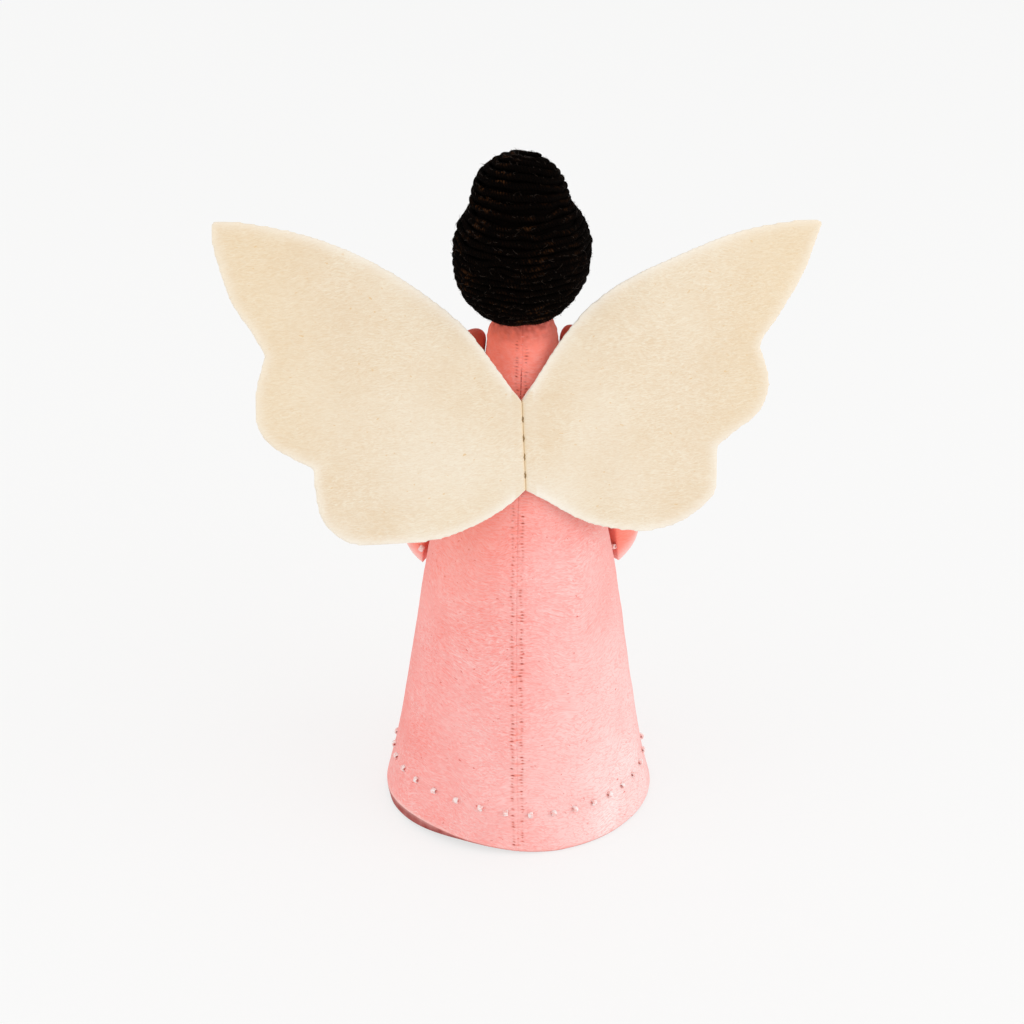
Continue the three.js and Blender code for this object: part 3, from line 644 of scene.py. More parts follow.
def make_dress():
    height, inset = dress_rows()
    turn, aside = dress_columns(height)
    radius = dress_radius(height)
    outside = (inset < 0.4) * np.ones_like(turn)
    plain = round_axis(radius - inset, turn, height)
    level = plain * [0, 0, 1]
    hole_and_painted_shade, pulled = needle_marks(aside, height)
    pulled *= np.clip(0.75 + 1.5 * wander(level, 11, 33), 0.15, 1.5)

    # The shape: waves, the groove of the butted edges, and the curled hem with its cut edge leaning out
    waves = 0.5 * wander(plain, 34, 1) + 0.14 * wander(plain, 9, 2)
    waves = (waves + 0.05 * wander(plain, 2.6, 5) * outside) * np.clip((DRESS_HEIGHT - height) / 30, 0.15, 1)
    dimples = 0.3 * wander(plain, 1.7, 7) * ramp(height, 132, 22) * outside
    groove = -0.14 * bell(aside, 0.16) + 0.07 * bell(np.abs(aside) - 0.8, 0.5)
    relief = waves + dimples + outside * (groove - 0.3 * hole_and_painted_shade)
    edge_shown = shown_edge(wrapped(turn))
    leaning = edge_shown * (inset / DRESS_FELT * (1 - ramp(height, 0, 7)))
    low = 0.35 * wander(round_axis(30.0, turn, 0.0), 14, 6) * (1 - ramp(height, 0, 6))
    lifted = height + hem_lift(wrapped(turn), height) * (1 - leaning) + np.abs(low)
    points = round_axis(radius - inset + HEM_SPLAY * leaning + relief, turn, lifted)

    # Where the cut edges show, and a painted highlight along the curled hem's edge
    cut_and_painted_light = ((inset > 0.2) & (inset < DRESS_FELT - 0.2)) * np.ones_like(turn)
    painted_edge_highlight = 0.7 * edge_shown * outside * bell(height - 0.5, 0.8)
    # Painted shade: redder towards the neck under the hair and wings, on the left under the wing and in a
    # dark line along the lower edge; and redder at the stitches
    darker_and_painted_shade = 0.42 * ramp(height, 96, 30) ** 1.3 * (1 + 0.22 * wander(plain, 1.5, 12))
    darker_and_painted_shade += 0.36 * ramp(height, 62, 40) * np.clip(0.3 + plain[..., 0] / 25, 0, 1)
    darker_and_painted_shade += 0.3 * ramp(height, 152, 12)
    darker_and_painted_shade = np.maximum(darker_and_painted_shade, np.maximum(pulled, np.clip(1.5 * hole_and_painted_shade, 0, 0.9)) * outside)
    darker_and_painted_shade = np.maximum(darker_and_painted_shade, 0.5 * bell(height, 0.6) * outside * (1 - edge_shown))
    # Painted light: paler on the right and low down
    paler_and_painted_light = np.clip(0.5 - plain[..., 0] / 60, 0, 1) ** 2.1 * np.clip(0.9 + plain[..., 1] / 60, 0, 1)
    paler_and_painted_light = paler_and_painted_light * np.clip(1.15 - height / 95, 0, 1) * (0.85 + 0.3 * wander(plain, 12, 9))
    # Painted shade in the needle holes, under the hair and on the curled hem's cut edge; and the dark line
    # of the groove
    uneven = 1.3 * wander(level, 7, 8)
    line = bell(aside, 0.13) * np.clip(0.2 + 0.35 * ramp(height, 130, 12) + uneven, 0, 0.7)
    line = line * (0.15 + 1.2 * ramp(height, 100, 50))
    painted_shade_under_hair = 0.8 * ramp(height, 160, 8.5) ** 1.6 * (0.9 + 0.6 * wander(plain, 1.3, 21))
    shade = (inset > 0.05) * (inset < DRESS_FELT * 0.95) * (1 - ramp(height, 0, 2))
    shade = shade * np.clip(0.3 + 1.4 * edge_shown, 0, 0.9) * (0.9 + 0.3 * wander(plain, 3, 10))
    dark = np.maximum(np.maximum(hole_and_painted_shade, line), painted_shade_under_hair) * outside
    marks = {"cut_and_painted_light": np.maximum(0.3 * cut_and_painted_light, painted_edge_highlight), "darker_and_painted_shade": darker_and_painted_shade, "paler_and_painted_light": np.minimum(paler_and_painted_light, 1),
             "hole_and_painted_shade": np.maximum(dark, shade)}
    faces = grid_faces(*turn.shape, closed_along=True)
    make_piece("dress", points, faces, "pink_felt", "body", ["dress_cone"], marks)


def make_back_seam():
    """The zigzag thread, pulled a little into the felt and down into each hole."""
    holes = stitch_holes()
    share = np.linspace(0, 1, 9)[:-1]
    rise = np.sin(np.pi * share) ** 0.6
    across = holes[:-1, :1] + (holes[1:, :1] - holes[:-1, :1]) * share
    height = holes[:-1, 1:] + (holes[1:, 1:] - holes[:-1, 1:]) * share
    sunk = np.where(np.arange(len(height)) % 2 == 0, 0.0, THREAD_SUNK)[:, None]
    uneven = 0.16 * wander(height[..., None] * [0, 0, 1], 3, 32)
    away = dress_radius(height) - THREAD_DEPTH - sunk + 0.5 * rise + uneven
    turn = np.pi / 2 - (across + seam_aside(height)) / dress_radius(height)
    path = round_axis(away, turn, height + hem_lift(np.pi / 2, height)).reshape(-1, 3)
    points, faces = closed_tube(path, THREAD_RADIUS, 6, path * [1, 1, 0])
    make_piece("back_seam", points, faces, "pink_thread", "body", ["back_seam_thread"])


def squarer(wave):
    """A sine or a cosine that stays longer near 1 and -1, for a wall with rounded corners."""
    return np.sign(wave) * np.abs(wave) ** 0.75


def bead_mesh(name):
    """A rounded glass bead with its hole along Y."""
    wall = (BEAD_RADIUS - BEAD_HOLE) / 2
    turn, around = all_round(14), all_round(20)[:, None]
    out = BEAD_HOLE + wall + wall * squarer(np.cos(turn))
    along = BEAD_LENGTH / 2 * squarer(np.sin(turn))
    points = np.stack(np.broadcast_arrays(out * np.cos(around), along, out * np.sin(around)), -1)
    mesh = bpy.data.meshes.new(name)
    mesh.from_pydata((points.reshape(-1, 3) * MM).tolist(), [], grid_faces(20, 14, closed_along=True))
    mesh.polygons.foreach_set("use_smooth", [True] * len(mesh.polygons))
    mesh.materials.append(finishes["clear_bead"])
    return mesh


def place_bead(name, mesh, middle, turned, body):
    bead = new_object(name, mesh)
    bead.matrix_world = Matrix.Translation(Vector(middle * MM)) @ turned
    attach(bead, body)
    return bead


def bead_stitch(middle, tangent, outward, depth, radius, facing):
    """The thread through a bead's hole and down into the felt on both sides."""
    path = middle + np.array(STITCH_REACH)[:, None] * tangent + np.array(depth)[:, None] * outward
    return closed_tube(path, radius, 6, np.tile(facing, (len(STITCH_REACH), 1)))


def make_hem_beads():
    """The ring of beads, and the stitch through each that holds it to the felt."""
    mesh = bead_mesh("hem_bead")
    stitches = []
    for count in range(BEAD_COUNT):
        even = math.radians(BEAD_START + 360 * count / BEAD_COUNT)
        turn = even + math.radians(BEAD_WANDER) * math.sin(2 * even - math.pi / 2)
        height = BEAD_HEIGHT + float(hem_lift(wrapped(turn), BEAD_HEIGHT))
        middle = round_axis(float(dress_radius(BEAD_HEIGHT)) + 0.2, turn, height)
        tilt = 0.22 * chance(count * 3.7, 1.3, 0)
        turned = Matrix.Rotation(turn, 4, "Z") @ Matrix.Rotation(tilt, 4, "X") @ Matrix.Rotation(
            2.4 * count, 4, "Y")
        bead = place_bead(f"bead_{count + 1:02d}", mesh, middle, turned, "body")
        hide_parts(f"hem_bead_{count + 1:02d}")
        tangent = np.array([-math.sin(turn), math.cos(turn), math.sin(tilt)])
        outward = np.array([math.cos(turn), math.sin(turn), 0])
        stitches.append(bead_stitch(middle, tangent, outward, HEM_STITCH_DEPTH, 0.16, [0.0, 0, 1]))
    points, faces = join_parts(stitches)
    make_piece("hem_bead_stitches", points, faces, "pink_thread", "body")


# Wings

SEAM_LEAN = math.atan2(
    dress_radius(WING_SEAM_FOOT) - dress_radius(WING_SEAM_FOOT + WING_SEAM_LENGTH), WING_SEAM_LENGTH)


def seam_place():
    """From the wings' own flat frame to the row's, in millimetres."""
    off = WING_STANDOFF + WING_FELT
    foot = Vector((WING_SEAM_ASIDE, dress_radius(WING_SEAM_FOOT) + off * math.cos(SEAM_LEAN),
                   WING_SEAM_FOOT + off * math.sin(SEAM_LEAN)))
    return Matrix.Translation(foot) @ Matrix.Rotation(math.pi / 2 + SEAM_LEAN, 4, "X") @ Matrix.Rotation(
        math.radians(WING_TURN), 4, "Y")


def moved(points, matrix):
    matrix = np.array(matrix)
    return points @ matrix[:3, :3].T + matrix[:3, 3]


def remeshed(points, faces, voxel):
    """The closed shape, made again of small even faces with its corners a little rounded."""
    rough = new_object("rough", new_mesh("rough", points, faces))
    again = rough.modifiers.new("again", "REMESH")
    again.mode, again.voxel_size, again.adaptivity = "VOXEL", voxel, 0
    even = rough.modifiers.new("even", "SMOOTH")
    even.factor, even.iterations = 0.5, 8
    ready = rough.evaluated_get(bpy.context.evaluated_depsgraph_get()).to_mesh()
    made = np.array([v.co for v in ready.vertices], float)
    normals = np.array([v.normal for v in ready.vertices], float)
    corners = [list(p.vertices) for p in ready.polygons]
    bpy.data.objects.remove(rough)
    return made, normals, corners


def wing_outline(table, side):
    """The wing's flat outline, round from the foot of the seam."""
    inner = -side * WING_OVERLAP
    points = [(inner, 0.0), (inner, WING_SEAM_LENGTH - WING_SEAM_DROP)]
    for run in table:
        ahead = [(side * out * WING_REACH, up * WING_RISE) for out, up in run]
        if run is table[-1]:
            ahead.append((inner, 0.0))
        points += [tuple(p) for p in smooth_through([points[-1], *ahead], 8)[1:]]
    return np.array(points[:-1])


def to_outline(points, outline):
    """How far each flat point is from the closed outline."""
    least = np.full(len(points), np.inf)
    for start, end in zip(outline, np.roll(outline, -1, 0)):
        run = end - start
        share = np.clip((points - start) @ run / max(run @ run, 1e-9), 0, 1)
        least = np.minimum(least, np.linalg.norm(points - start - share[:, None] * run, axis=1))
    return least


def seam_drift(height):
    """The seam of the wings runs a little aslant."""
    return WING_SEAM_DRIFT * (2 * height / WING_SEAM_LENGTH - 1)


def make_wing(hand, table, side):
    """A wing laid flat with its seam upright, then put in its place on the back."""
    outline = wing_outline(table, side)
    count = len(outline)
    along = np.roll(outline, -1, 0) - np.roll(outline, 1, 0)
    inwards = unit(np.stack([along[:, 1], -along[:, 0]], 1)) * side
    # The cut leans away from the camera: most on the upper edges, less at the tip, and not in the seam
    from_seam = np.abs(outline[:, :1])
    slant = 1.3 + 1.2 * np.clip(-inwards[:, 1:], 0, 1) * np.clip((84 - from_seam) / 14, 0, 1)
    slant = slant * np.clip(from_seam / 6 - 0.1, 0, 1)
    back = outline + inwards * slant
    flat = np.concatenate([np.c_[outline, np.zeros(count)], np.c_[back, np.full(count, WING_FELT)]])
    faces = [list(range(count)), list(range(2 * count - 1, count - 1, -1))]
    faces += [[i, (i + 1) % count, count + (i + 1) % count, count + i] for i in range(count)]
    points, normals, corners = remeshed(flat, faces, WING_VOXEL)
    outer = 1 - ramp(points[:, 2], 0, WING_FELT)
    level = points * [1, 1, 0]
    wave = 0.5 * wander(level, 30, 11 + side) + 0.1 * wander(level, 7, 13)
    nap = 0.05 * wander(points, 2.2, 14) + 0.03 * wander(points, 1.1, 15)
    in_seam = (1 - ramp(np.abs(points[:, 0]), 0, 9)) * (points[:, 1] > -2)
    in_seam = in_seam * (points[:, 1] < WING_SEAM_LENGTH + 2)
    pulled = 0.22 * bell(points[:, 0], 0.9) * outer * (in_seam > 0)
    points = points + normals * nap[:, None]
    aside, up = points[:, 0].copy(), points[:, 1].copy()
    points[:, 0] += seam_drift(up) * bell(aside, 14)
    points[:, 2] += wave * (1 - in_seam) + pulled
    # Pale cut faces, partly painted light, a painted light rim round the outline, a paler middle, and gold
    # in the seam and on the tips
    cut_and_painted_light = np.clip((1 - np.abs(normals[:, 2])) * 1.5, 0, 1)
    rim = bell(to_outline(np.stack([aside, up], 1), outline), 2.4) * (0.8 + 0.15 * wander(points, 6, 16))
    rim = rim * (1 - (np.abs(aside) < 3) * (in_seam > 0))
    whiter = (1 - ramp(np.abs(aside), 0, 75)) * np.clip(1 - up / 60, 0.15, 1)
    whiter = 0.6 * whiter * np.clip(0.5 + 0.8 * wander(level, 17, 18 + side), 0, 1)
    golden = 0.7 * bell(aside, 0.4) * (in_seam > 0)
    golden = np.maximum(golden, 0.22 * ramp(np.abs(aside), 55, 25) * (1 - cut_and_painted_light))
    marks = {"paler_and_painted_light": whiter, "cut_and_painted_light": np.maximum(0.8 * cut_and_painted_light, 0.75 * rim), "darker_and_painted_shade": golden}
    make_piece(f"{hand}_wing", moved(points, seam_place()), corners, "cream_felt", f"{hand}_wing",
               [f"wing_{hand}"], marks)


def make_wings():
    make_wing("left", LEFT_WING, 1)
    make_wing("right", RIGHT_WING, -1)
    stitches = []
    for low, high in WING_STITCHES:
        share = np.linspace(0, 1, 10)
        height = low + (high - low) * share
        depth = 0.3 + 1.4 * (1 - np.sin(np.pi * share) ** 0.35)
        aside = 0.12 * np.sin(5 * height) + seam_drift(height)
        path = np.stack([aside, height, depth], 1)
        stitches.append(closed_tube(path, WING_STITCH_RADIUS, 8, np.tile([1.0, 0, 0], (10, 1))))
    points, faces = join_parts(stitches)
    make_piece("wing_stitches", moved(points, seam_place()), faces, "golden_thread", "body",
               ["wing_seam_thread"])


# Head, hair and bun

NECK_RADIUS = float(dress_radius(DRESS_HEIGHT)) - DRESS_FELT - GAP
HEAD_HEIGHT = DRESS_HEIGHT + GAP + math.sqrt(HEAD_RADIUS**2 - (NECK_RADIUS + GAP) ** 2)
HEAD_MIDDLE = np.array([0, 0, HEAD_HEIGHT])


def round_head(distance, down, turn):
    """A point on a ball round the head, down from the crown and turned from +X, in radians."""
    return round_axis(distance * np.sin(down), turn, HEAD_HEIGHT + distance * np.cos(down))


def on_face(standoff, across, above):
    """A point off the front of the head, across to the angel's left and above the middle in degrees."""
    down, turn = math.pi / 2 - np.radians(above), -math.pi / 2 + np.radians(across)
    return round_head(HEAD_RADIUS + standoff, down, turn)


def near_face(points, across, above, spread):
    """1 at a spot on the face and 0 away from it."""
    return bell(np.linalg.norm(points - on_face(0, across, above), axis=-1), spread)


def near_both(points, across, above, spread):
    return near_face(points, across, above, spread) + near_face(points, -across, above, spread)


def make_head():
    """The head, its nose, the hollows of its eyes and its cheeks, and the neck that plugs the dress."""
    down = np.linspace(0.02, math.pi - math.asin(NECK_RADIUS / HEAD_RADIUS), 72)[:, None]
    turn = all_round(110)
    neck = round_axis(NECK_RADIUS, turn, np.array([[DRESS_HEIGHT - 1], [DRESS_HEIGHT - NECK_LENGTH]]))
    points = np.concatenate([round_head(HEAD_RADIUS - 0.12, down, turn), neck])
    out = unit(points - HEAD_MIDDLE)
    nose = near_face(points, 0, -9, 2.6)
    relief = 0.12 * wander(points, 6, 21) + 0.06 * wander(points, 2, 22) + 1.5 * nose
    relief -= 0.5 * near_both(points, 19, -2, 3.2)
    relief += 0.5 * near_both(points, 26, -19, 5)
    relief[-2:] = 0
    blush = near_both(points, 30, -17, 4) + 0.35 * nose
    head = make_piece("head", points + out * relief[..., None], capped_faces(*points.shape[:2]),
                      "skin_wool", "body", ["head_ball"], {"blush": 0.55 * blush})


YARN_RADIUS = 1.15
HAIR_DISTANCE = HEAD_RADIUS + 0.95
PART_ROWS, WHOLE_LOOPS, BUN_LOOPS = 13, 3, 9
HAIR_PITCH = math.radians(NAPE_ANGLE - CROWN_ANGLE) / (PART_ROWS + WHOLE_LOOPS)
NAPE = math.radians(NAPE_ANGLE)
HAIRLINE_TOP = NAPE - (PART_ROWS - 0.5 + FACE_CLOSING) * HAIR_PITCH
PLY_SIDES = 6


def plied(path, radius, plies=3, twist=2.6):
    """A yarn of plies twisted together along a path, and how far each point of it stands out, for the
    painted highlight on the crests.
    """
    step = twist / 9
    path = evenly(path, step)
    along = unit(np.gradient(path, axis=0))
    across = unit(np.cross(along, path - HEAD_MIDDLE))
    out = np.cross(across, along)
    run = np.arange(len(path)) * step
    swell = 1 + 0.05 * wander(path, 6, 31)
    tubes, painted_crest_highlights = [], []
    for ply in range(plies):
        turn = (2 * np.pi * (run / twist + ply / plies))[:, None]
        middle = path + 0.55 * radius * swell[:, None] * (np.cos(turn) * out + np.sin(turn) * across)
        tubes.append(closed_tube(middle, 0.47 * radius * swell, PLY_SIDES, out))
        off = tubes[-1][0] - np.repeat(path, PLY_SIDES, 0)
        above = np.sum(off * np.repeat(out, PLY_SIDES, 0), 1) / radius
        painted_crest_highlights.append(ramp(above, 0.76, 0.24) ** 1.5)
    return (*join_parts(tubes), {"crest": np.concatenate(painted_crest_highlights)})


def hair_down(row):
    return NAPE - row * HAIR_PITCH


def sweep_after(row):
    """How far to either side of the back a row reaches, in radians."""
    share = (hair_down(row + 0.5) - HAIRLINE_TOP) / (NAPE - HAIRLINE_TOP)
    return math.pi - math.radians(NAPE_OPENING) * max(share, 0) ** FACE_CURVE


def loops_up(loop):
    """The yarn runs level round the back and climbs to the next loop over the forehead."""
    whole = np.floor(loop)
    share = ramp(loop - whole, 0.5, 0.5)
    return whole + share * share * (3 - 2 * share)


def hair_distance(down):
    """From the middle of the head to a row: the hair hangs fuller towards the nape."""
    return HAIR_DISTANCE + 1.9 * ramp(np.degrees(down), 97, 55)


def hair_path():
    """The rows to and fro, then the whole loops; also which way the last goes, and where it ends."""
    back, way, path = math.pi / 2, 1, []
    for row in range(PART_ROWS):
        sweep = np.linspace(-sweep_after(row - 1), sweep_after(row), 90)
        path.append(round_head(hair_distance(hair_down(row)), hair_down(row), back + way * sweep))
        share = np.linspace(0, 1, 9)[1:-1]
        down = hair_down(row) - HAIR_PITCH * (1 - np.cos(np.pi * share)) / 2
        reach = sweep[-1] + HAIR_PITCH / 2 * np.sin(np.pi * share) / np.sin(down)
        path.append(round_head(hair_distance(down), down, back + way * reach))
        way = -way
    loop = np.linspace(0, WHOLE_LOOPS, 140 * WHOLE_LOOPS)
    down = hair_down(PART_ROWS + loops_up(loop))
    turn = back + way * (-sweep_after(PART_ROWS - 1) + 2 * np.pi * loop)
    path.append(round_head(HAIR_DISTANCE, down, turn))
    return np.vstack(path), way, turn[-1]


def roughened(path, seed):
    """The path with the waves of hand winding: rows swing together, and each a little by itself."""
    together = 1.3 * wander(path, 13, seed)
    alone = 0.95 * wander(path * [1, 1, 3], 6, seed + 1)
    swell = 0.5 * wander(path * [1, 1, 2], 5, seed + 2)
    lean = 0.35 + 0.8 * ramp(HEAD_HEIGHT - path[:, 2:], 0, 14)
    out = unit(path - HEAD_MIDDLE)
    up = unit(np.array([0, 0, 1.0]) - out * out[:, 2:])
    return path + (together + alone)[:, None] * up + swell[:, None] * out + lean * [1, 0, 0]


def make_hair_wool():
    """The dark wool that the hair is wound over, seen in the slits between the rows."""
    rows, half = 40, 90
    down = np.linspace(math.radians(NAPE_ANGLE - 1), math.radians(CROWN_ANGLE - 8), rows)
    row = (NAPE - down) / HAIR_PITCH
    reach = np.array([min(sweep_after(max(r - 0.5, 0)), math.pi) - 0.1 for r in row])[:, None]
    share = np.linspace(-1, 1, half)
    turn = np.concatenate([math.pi / 2 + reach * share, math.pi / 2 - reach * share], 1)
    outer = hair_distance(down)[:, None] - 0.4 + np.zeros(half)
    distance = np.concatenate([outer, np.full((rows, half), HEAD_RADIUS - 0.6)], 1)
    points = round_head(distance, down[:, None], turn)
    points = points + unit(points - HEAD_MIDDLE) * (0.12 * wander(points, 3, 45))[..., None]
    make_piece("hair_wool", points, capped_faces(rows, 2 * half), "dark_yarn", "body")


def make_fuzz(name, path, count, seed):
    """Fine loose hairs that start inside the yarn, stand off it a little and curl."""
    random = np.random.default_rng(seed)
    share = np.linspace(0, 1, 7)[:, None]
    strands = []
    for start in random.choice(len(path) - 20, count, replace=False) + 10:
        out = unit(path[start] - HEAD_MIDDLE)
        along = unit(path[start + 3] - path[start - 3])
        across = np.cross(out, along)
        reach = random.uniform(0.8, 2.6)
        lie, turn = random.uniform(-1, 1), random.uniform(-2.4, 2.4)
        stand = YARN_RADIUS * 0.7 + random.uniform(0.3, 0.85) * np.sin(share * random.uniform(1.6, 3.0))
        bend = reach * share * np.cos(turn * share)
        lean = reach * lie * share * np.sin(1 + turn * share)
        strand = path[start] + out * stand + along * bend + across * lean
        strands.append(closed_tube(strand, 0.045 * (1.25 - share[:, 0]), 4, np.tile(out, (7, 1))))
    points, faces = join_parts(strands)
    make_piece(name, points, faces, "loose_hair", "body")


def wind_yarn(name, path, hairs, seed):
    """The yarn along a path, with its loose hairs."""
    path = roughened(path, seed)
    make_fuzz(f"{name}_fuzz", path, hairs, seed + 2)
    points, faces, crest = plied(path, YARN_RADIUS)
    make_piece(name, points, faces, "dark_yarn", "body", [f"{name}_winding"], crest)


bun_foot = round_head(HAIR_DISTANCE, math.radians(CROWN_ANGLE), 0.0)
bun_side = smooth_through([(out * bun_foot[0], up * BUN_HEIGHT) for up, out in BUN_PROFILE], 12)
bun_curve = evenly(np.c_[bun_side, np.zeros(len(bun_side))], 0.25)[:, :2]


def bun_shape(points, share):
    """The wound bun leans a little, and its rows dip to the angel's right."""
    points = points.copy()
    points[..., 2] += points[..., 0] * np.tan(np.radians(3 + 11 * share)) * np.minimum(share * 2.5, 1)
    points[..., 2] += points[..., 1] * np.tan(np.radians(16)) * np.minimum(share * 1.6, 1)
    points[..., 0] += 1.3 * np.sin(np.pi * np.minimum(share / 0.7, 1)) - 1.9 * share
    return points


def bun_place(share, inset=0):
    """How far out and how high the bun's surface is, at a share of the way up it."""
    index = np.clip(share, 0, 1) * (len(bun_curve) - 1)
    out = np.interp(index, np.arange(len(bun_curve)), bun_curve[:, 0]) - inset
    return out, bun_foot[2] + np.interp(index, np.arange(len(bun_curve)), bun_curve[:, 1]) - inset


def make_bun(way, start):
    """The bun goes on where the hair ends, and the yarn's own end is tucked down at its tip."""
    loop = np.linspace(0, BUN_LOOPS, 130 * BUN_LOOPS)
    share = loops_up(loop) / BUN_LOOPS
    out, height = bun_place(share)
    turn = start + way * (0.25 + 2 * np.pi * loop)
    out = out + 0.5 * wander(np.stack([loop * 0, turn * 0.4, height], -1), 3.2, 57)
    path = bun_shape(round_axis(out, turn, height), share)
    tail = path[-1] + np.array([[0.9, 0.5, -0.1], [0.3, 0.9, -0.9], [-0.3, 1.0, -2.2]]) * [-1, -1, 1]
    wind_yarn("bun", np.vstack([path, tail]), 260, 51)
    share = np.linspace(0, 1, 40)[:, None]
    out, height = bun_place(share, 0.7)
    turn = all_round(64)
    core = bun_shape(round_axis(np.maximum(out, 0.5), turn, height), share)
    seat = round_head(HEAD_RADIUS - 0.3, math.radians(CROWN_ANGLE + 3), turn)[None]
    core = np.concatenate([seat, core])
    core += unit(core - HEAD_MIDDLE) * (0.2 * wander(core, 4, 55))[..., None]
    make_piece("bun_wool", core, capped_faces(*core.shape[:2]), "dark_yarn", "body", ["bun_core"])


# Face


def make_face():
    for name, side in SIDES:
        middle = on_face(0.35, side * 19, -3)
        points, faces = ball(1.2, 4)
        ahead = unit(middle - HEAD_MIDDLE)
        points = points - np.outer(points @ ahead, ahead) * 0.2
        make_piece(f"{name}_eye", points + middle, faces, "black_bead", "body", [f"eye_{name}"])
        share = np.linspace(-1, 1, 14)
        brow = on_face(0.25, side * (19 + 5 * share), 6.5 + 1.6 * (1 - share**2))
        points, faces, _ = plied(brow, 0.24, 2, 0.9)
        make_piece(f"{name}_brow", points, faces, "dark_yarn", "body")
    share = np.linspace(-1, 1, 30)
    smile = on_face(0.3, 11 * share, -24 - 4 * (1 - share**2))
    points, faces, _ = plied(smile, 0.36, 2, 1.2)
    make_piece("smile", points, faces, "red_thread", "body", ["mouth_stitch"])


# Sleeves and arms


def along_sleeve(share):
    """The sleeve's measures at a share of the way from the shoulder to the cuff."""
    share = np.asarray(share, float)
    flare = share ** CUFF_FLARE
    part = {key: SHOULDER[key] + (CUFF[key] - SHOULDER[key]) * share for key in ("height", "turn")}
    part.update({key: SHOULDER[key] + (CUFF[key] - SHOULDER[key]) * flare for key in ("depth", "width")})
    part.update(slope=CUFF_SLOPE * share**2, lift=CUFF_LIFT * share**2, lean=CUFF_LEAN * share**2)
    return part


def on_sleeve(share, around, inset, side):
    """A point on the sleeve: around is 0 at its back edge and a quarter turn on, outside."""
    part = along_sleeve(share)
    height = part["height"] - part["slope"] * np.cos(around) + part["lift"] * np.sin(around)
    dip, where = CUFF_DIPS[side]
    height = height - dip * bell(wrapped(around - where), CUFF_DIP_WIDTH) * share**2
    surface = dress_radius(height) + GAP
    bulge = (part["depth"] - inset) * np.sin(around) - part["lean"] * np.maximum(np.cos(around), 0) ** 6
    bulge = bulge + CUFF_CORNERS[side] * np.maximum(np.sin(around), 0) ** 3 * share**4
    out = np.maximum(surface + part["depth"] + bulge, surface + inset)
    back = (part["width"] - inset) * np.cos(around)
    return round_axis(out, back / out - np.radians(part["turn"]), height) * [side, 1, 1]


def make_sleeve(hand, side):
    """From the rounded shoulder end down the outside, round the cut edge and up the inside."""
    around, length, rows = all_round(56), SHOULDER["height"] - CUFF["height"], 70
    rise = np.linspace(0.97, 0.06, 8)[:, None, None] * np.pi / 2
    top = on_sleeve(0.0, around[None], 0, side)
    centre = top.mean(1, keepdims=True)
    tip_out, rise_to = SHOULDER_TIPS[side]
    aside = round_axis(tip_out, -math.radians(SHOULDER["turn"]), rise_to) * [side, 1, 1]
    cap = centre + (top - centre) * np.cos(rise) + aside * np.sin(rise)
    outer = on_sleeve(np.linspace(0, 0.985, rows)[:, None], around, 0, side)
    rim = [on_sleeve(share, around, inset, side) for share, inset in
           [(0.995, 0.12), (1.0, 0.5), (1.0, 1.0), (1.0, 1.5), (0.995, 1.88)]]
    inner = on_sleeve(np.linspace(0.985, SLEEVE_HOLLOW, 40)[:, None], around, SLEEVE_FELT, side)
    points = np.concatenate([cap, outer, np.array(rim), inner])

    def by_rows(on_cap, on_outer, on_rim, on_inner):
        """One value for each point, from one for each row or for a stretch of rows."""
        parts = [(cap, on_cap), (outer, on_outer), (rim, on_rim), (inner, on_inner)]
        values = np.concatenate([np.broadcast_to(value, len(stretch)) for stretch, value in parts])
        return np.repeat(values, len(around))

    cut_and_painted_light = by_rows(0.0, bell(np.linspace(1, 0.015, rows) * length, 3), 1.0, 0.0)
    # Painted shade from the wing and the hair: darker at the shoulder end, down the outside and inside, less
    # on the cut edge
    darker_and_painted_shade = by_rows(1.0, np.linspace(1, 0.7, rows), 0.2, 0.7)
    shaded = by_rows(0.6, np.linspace(0.6, -0.8, rows).clip(0), 0.0, 0.0)
    middle = points.mean(1, keepdims=True)
    relief = 0.1 * wander(points, 7, 61) + 0.07 * wander(points, 2.2, 62)
    points = points + unit((points - middle) * [1, 1, 0] + 1e-9) * relief[..., None]
    name = f"sleeve_{hand}"
    make_piece(name, points, capped_faces(*points.shape[:2]), "pink_felt", f"{hand}_arm", [name],
               {"cut_and_painted_light": 0.8 * cut_and_painted_light, "darker_and_painted_shade": darker_and_painted_shade * (1 - 0.95 * cut_and_painted_light), "hole_and_painted_shade": shaded})


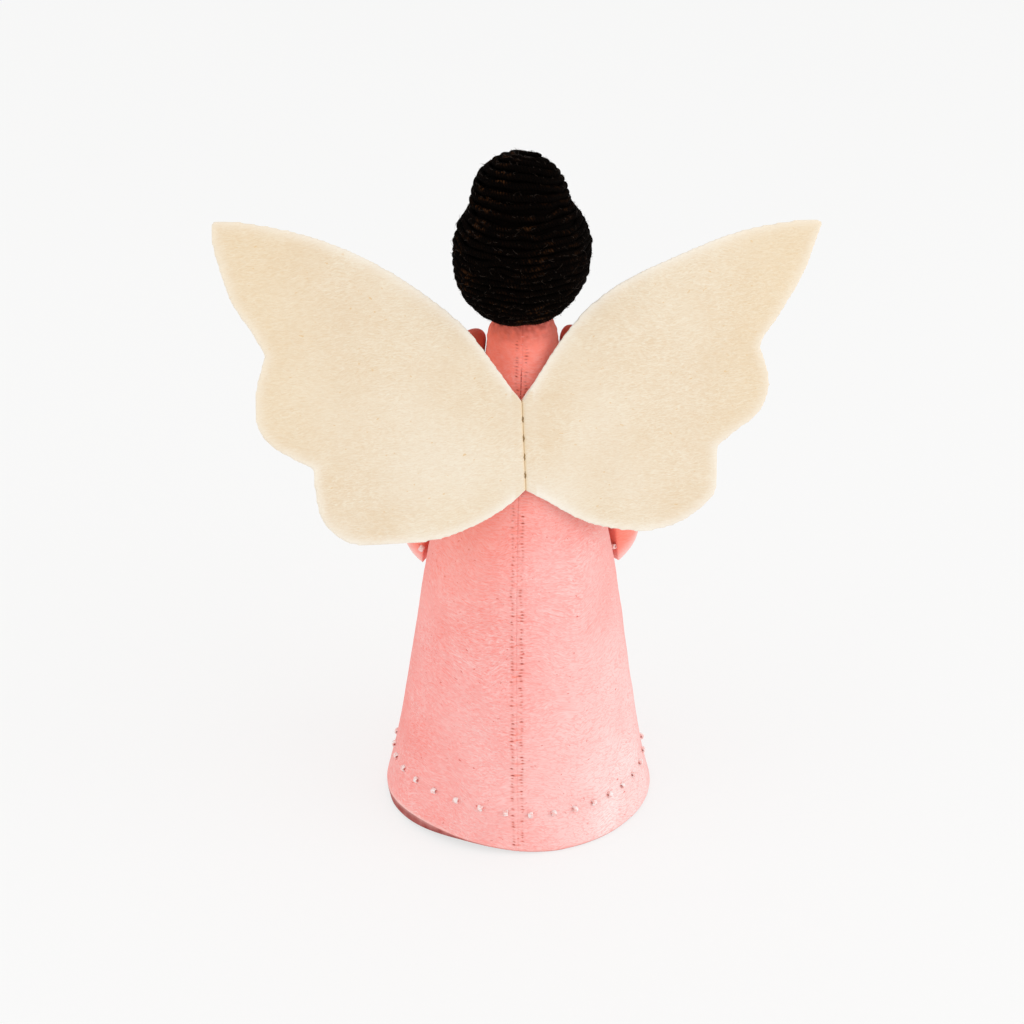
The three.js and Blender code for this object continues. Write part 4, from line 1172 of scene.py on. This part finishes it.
def make_arm(hand, side):
    """A wool roll down inside the sleeve, and a mitten of a hand with a thumb."""
    places = []
    for share in (0.36, 0.5, 0.65, 0.8, 0.92):
        part = along_sleeve(share)
        middle = dress_radius(part["height"]) + GAP + part["depth"]
        places.append(round_axis(middle, -math.radians(part["turn"]), part["height"]))
    for turn, rise in ((43, 2.5), (58, 0), (72, 0)):
        height = HAND_HEIGHT + rise
        places.append(round_axis(dress_radius(height) + GAP + HAND_STANDOFF, -math.radians(turn), height))
    path = smooth_through(places, 9)
    radii = smooth_through([(r, 0) for r in (1.2, 1.5, 2.1, 2.4, 2.4, 2.2, 3.3, 1.6)], 9)[:, 0]
    parts = [closed_tube(path, radii, 20, path * [1, 1, 0], flatten=0.85)]
    palm, tip = places[-2:]
    ahead = unit(tip - palm)
    thumb = [palm - 2.5 * ahead, palm + [0, 0, 2.4] - 0.6 * ahead, palm + [0, 0, 4.6] + 1.6 * ahead]
    thumb = smooth_through(thumb, 8)
    parts.append(closed_tube(thumb, np.linspace(1.9, 1.2, len(thumb)), 14, thumb * [1, 1, 0]))
    for end, radius in ((tip, 1.6), (thumb[-1], 1.2), (places[0], 1.2)):
        points, faces = ball(radius, 3)
        parts.append((points + end, faces))
    points, normals, corners = remeshed(*join_parts(parts), ARM_VOXEL)
    points = points + normals * (0.1 * wander(points, 3, 71) + 0.05 * wander(points, 1.3, 72))[:, None]
    points[:, 0] *= side
    arm = make_piece(f"arm_and_hand_{hand}", points, corners, "skin_wool", f"{hand}_arm", [f"arm_{hand}"])


def make_cuff_beads(hand, side):
    """The beads on the part of the cuff away from the dress. The first stands for the whole string."""
    share = 1 - CUFF_BEAD_RISE / (SHOULDER["height"] - CUFF["height"])
    mesh = bead_mesh(f"cuff_bead_{hand}")
    stitches = []
    for count, place in enumerate(CUFF_BEAD_PLACES[side]):
        around = math.radians(place)
        middle = on_sleeve(share, around, -1.0, side)
        tangent = unit(on_sleeve(share, around + 0.05, -1.0, side) - middle)
        outward = unit(middle - on_sleeve(share, around, 1.0, side))
        upright = np.cross(tangent, outward)
        turned = Matrix((Vector(outward), Vector(tangent), Vector(-upright))).transposed().to_4x4()
        bead = place_bead(f"cuff_bead_{hand}_{count + 1}", mesh, middle, turned, f"{hand}_arm")
        if count == 0:
            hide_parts(f"cuff_beads_{hand}")
        stitches.append(bead_stitch(middle, tangent, outward, CUFF_STITCH_DEPTH, 0.13, upright))
    points, faces = join_parts(stitches)
    make_piece(f"cuff_bead_stitches_{hand}", points, faces, "pink_thread", f"{hand}_arm")


def make_angel():
    make_dress()
    make_back_seam()
    make_hem_beads()
    make_wings()
    make_head()
    make_hair_wool()
    path, way, end = hair_path()
    wind_yarn("hair", path, 420, 41)
    make_bun(way, end)
    make_face()
    for hand, side in SIDES:
        make_sleeve(hand, side)
        make_arm(hand, side)
        make_cuff_beads(hand, side)


make_camera()
make_floor()
make_light()
finishes = make_finishes()
make_angel()
